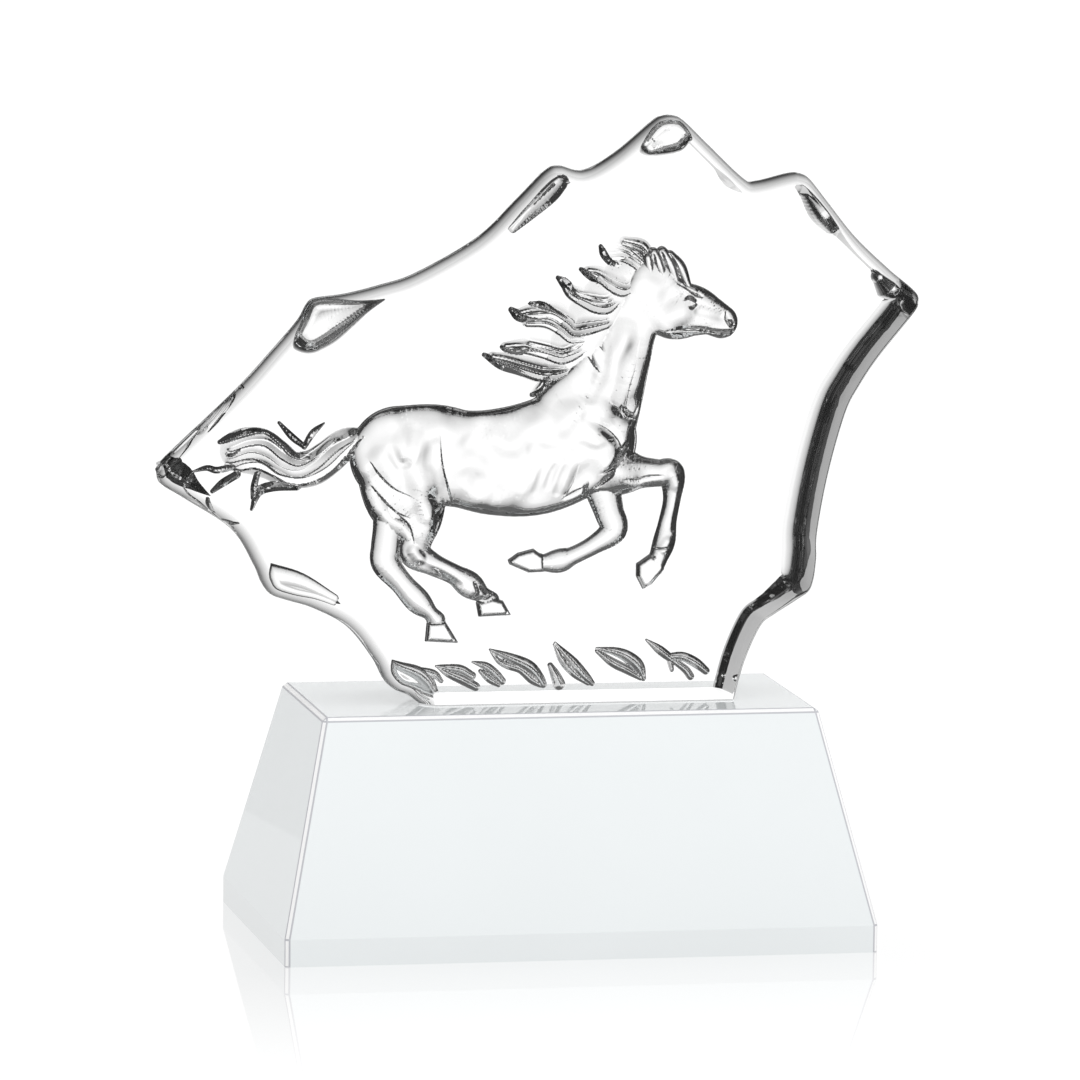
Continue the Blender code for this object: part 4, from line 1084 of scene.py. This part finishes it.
def sweep_light(tree, aim):
    """Brightness of the white sweep behind the trophy towards a direction: full in line with the
    camera and falling off to the dark room, with a soft light overhead."""
    aim = add(tree, "VectorMath", [aim], operation="NORMALIZE")
    axis = Vector(SWEEP_AXIS).normalized()
    turned = add(tree, "VectorMath", [aim, axis], "Value", operation="DOT_PRODUCT")
    angle = add(tree, "Math", [turned], operation="ARCCOSINE")
    share = add(tree, "Math", [angle, math.pi], operation="DIVIDE")
    sweep = add(tree, "ValToRGB", [share], stops=SWEEP)
    up = add(tree, "SeparateXYZ", [aim], "Z")
    overhead = add(tree, "MapRange", [up, 0.75, 0.93, 0.0, OVERHEAD])
    level = add(tree, "Math", [sweep, SWEEP_FULL], operation="MULTIPLY")
    return add(tree, "Math", [level, overhead], operation="MAXIMUM")


def studio_world(tone):
    """Soft studio light, brighter from the front and the right than from the left."""
    world, tree = new_tree(bpy.data.worlds.new("studio"))
    aim = add(tree, "TexCoord", out="Generated")
    through = sweep_light(tree, aim)
    way = add(tree, "SeparateXYZ", [aim], None).outputs
    in_front = add(tree, "MapRange", [way["Y"], -0.05, -0.3, 0.0, FRONT_GLOSS])
    sheen = add(tree, "Math", [through, SHEEN], operation="MULTIPLY")
    glossy = add(tree, "Math", [sheen, in_front], operation="MAXIMUM")
    diffuse = add(tree, "Math", [way["X"], 0.2, 1.08], operation="MULTIPLY_ADD")
    diffuse = add(tree, "Math", [way["Y"], -0.22, diffuse], operation="MULTIPLY_ADD")
    value, _ = ray_kinds(tree, diffuse, glossy, through, tone)
    light = add(tree, "Background", [WHITE, value])
    add(tree, "OutputWorld", [light], None)
    bpy.context.scene.world = world


def pale_floor(tone):
    """A white sheet that glows as a lamp: evenly bright to the camera, dimmer near the plinth as painted
    shade for the light that the plinth picks up from it, as bright as the white sweep in that direction
    from the plaque when seen through the glass, and polished enough to mirror the plinth faintly next to
    it.
    """
    material, tree = new_tree(bpy.data.materials.new("glowing_white_sheet_with_painted_shade"))
    place = add(tree, "NewGeometry", out="Position")
    level = add(tree, "VectorMath", [place, (1.0, 1.0, 0.0)], operation="MULTIPLY")
    away = add(tree, "VectorMath", [level], "Value", operation="LENGTH")
    aim = add(tree, "VectorMath", [place, SWEEP_EYE], operation="SUBTRACT")
    # Painted shade: for light scattered onto the plinth the sheet glows dimmer near it, as if shadowed
    # there.
    diffuse = add(tree, "MapRange", [away, 0.05, 0.3, 0.65, 0.95])
    value, seen = ray_kinds(tree, diffuse, 0.9, sweep_light(tree, aim), tone)
    sheet_light = add(tree, "Emission", {"Strength": value})
    folded = add(tree, "VectorMath", [level], operation="ABSOLUTE")
    foot = (PLINTH_WIDTH / 2, PLINTH_DEPTH / 2, 0.0)
    outside = add(tree, "VectorMath", [folded, foot], operation="SUBTRACT")
    outside = add(tree, "VectorMath", [outside, (0.0, 0.0, 0.0)], operation="MAXIMUM")
    from_plinth = add(tree, "VectorMath", [outside], "Value", operation="LENGTH")
    mirror = add(tree, "MapRange", [from_plinth, 0.0, 0.14, 0.6, 0.0])
    mirror = add(tree, "Math", [mirror, seen], operation="MULTIPLY")
    gloss = add(tree, "BsdfGlossy", {"Color": WHITE, "Roughness": 0.03})
    both = add(tree, "MixShader", [mirror, sheet_light, gloss])
    add(tree, "OutputMaterial", [both], None)
    return material


def floor_disc(material):
    mesh = bmesh.new()
    bmesh.ops.create_circle(mesh, cap_ends=True, segments=FLOOR_SIDES, radius=FLOOR_RADIUS)
    data = bpy.data.meshes.new("floor")
    mesh.to_mesh(data)
    mesh.free()
    data.materials.append(material)
    floor = bpy.data.objects.new("floor", data)
    bpy.context.scene.collection.objects.link(floor)


def camera():
    """A long lens, turned and raised as the photograph was taken."""
    place = Matrix.Translation(CAMERA_TARGET)
    for angle, axis in ((CAMERA_AZIMUTH, "Z"), (90 - CAMERA_ELEVATION, "X"), (CAMERA_ROLL, "Z")):
        place @= Matrix.Rotation(math.radians(angle), 4, axis)
    data = bpy.data.cameras.new("camera")
    data.lens = CAMERA_LENS
    data.sensor_width = 36.0
    data.clip_end = 20.0
    thing = bpy.data.objects.new("camera", data)
    thing.matrix_world = place @ Matrix.Translation((0, 0, CAMERA_DISTANCE))
    bpy.context.scene.collection.objects.link(thing)
    bpy.context.scene.camera = thing


class SCENE_OT_trophy_stage(bpy.types.Operator):
    """Set up the pale floor, the soft studio light and the camera"""

    bl_idname = "scene.trophy_stage"
    bl_label = "Stage"

    def execute(self, context):
        tone = context.scene.horse_trophy.floor_tone
        studio_world(tone)
        floor_disc(pale_floor(tone))
        camera()
        context.scene.view_settings.view_transform = "Standard"
        return {"FINISHED"}


class VIEW3D_PT_horse_trophy(bpy.types.Panel):
    """The trophy's pieces and their settings"""

    bl_label = "Horse Trophy"
    bl_space_type = "VIEW_3D"
    bl_region_type = "UI"
    bl_category = "Horse Trophy"

    def draw(self, context):
        settings = context.scene.horse_trophy
        for name in HorseTrophySettings.__annotations__:
            self.layout.prop(settings, name)
        for operator in OPERATORS:
            self.layout.operator(operator.bl_idname)


OPERATORS = (MESH_OT_trophy_plinth, MESH_OT_trophy_plaque, SCENE_OT_trophy_stage)
CLASSES = (HorseTrophySettings,) + OPERATORS + (VIEW3D_PT_horse_trophy,)


def register():
    for each in CLASSES:
        bpy.utils.register_class(each)
    bpy.types.Scene.horse_trophy = bpy.props.PointerProperty(type=HorseTrophySettings)


def unregister():
    del bpy.types.Scene.horse_trophy
    for each in reversed(CLASSES):
        bpy.utils.unregister_class(each)


def main():
    register()
    bpy.ops.mesh.trophy_plinth()
    bpy.ops.mesh.trophy_plaque()
    bpy.ops.scene.trophy_stage()


if __name__ == "__main__":
    main()
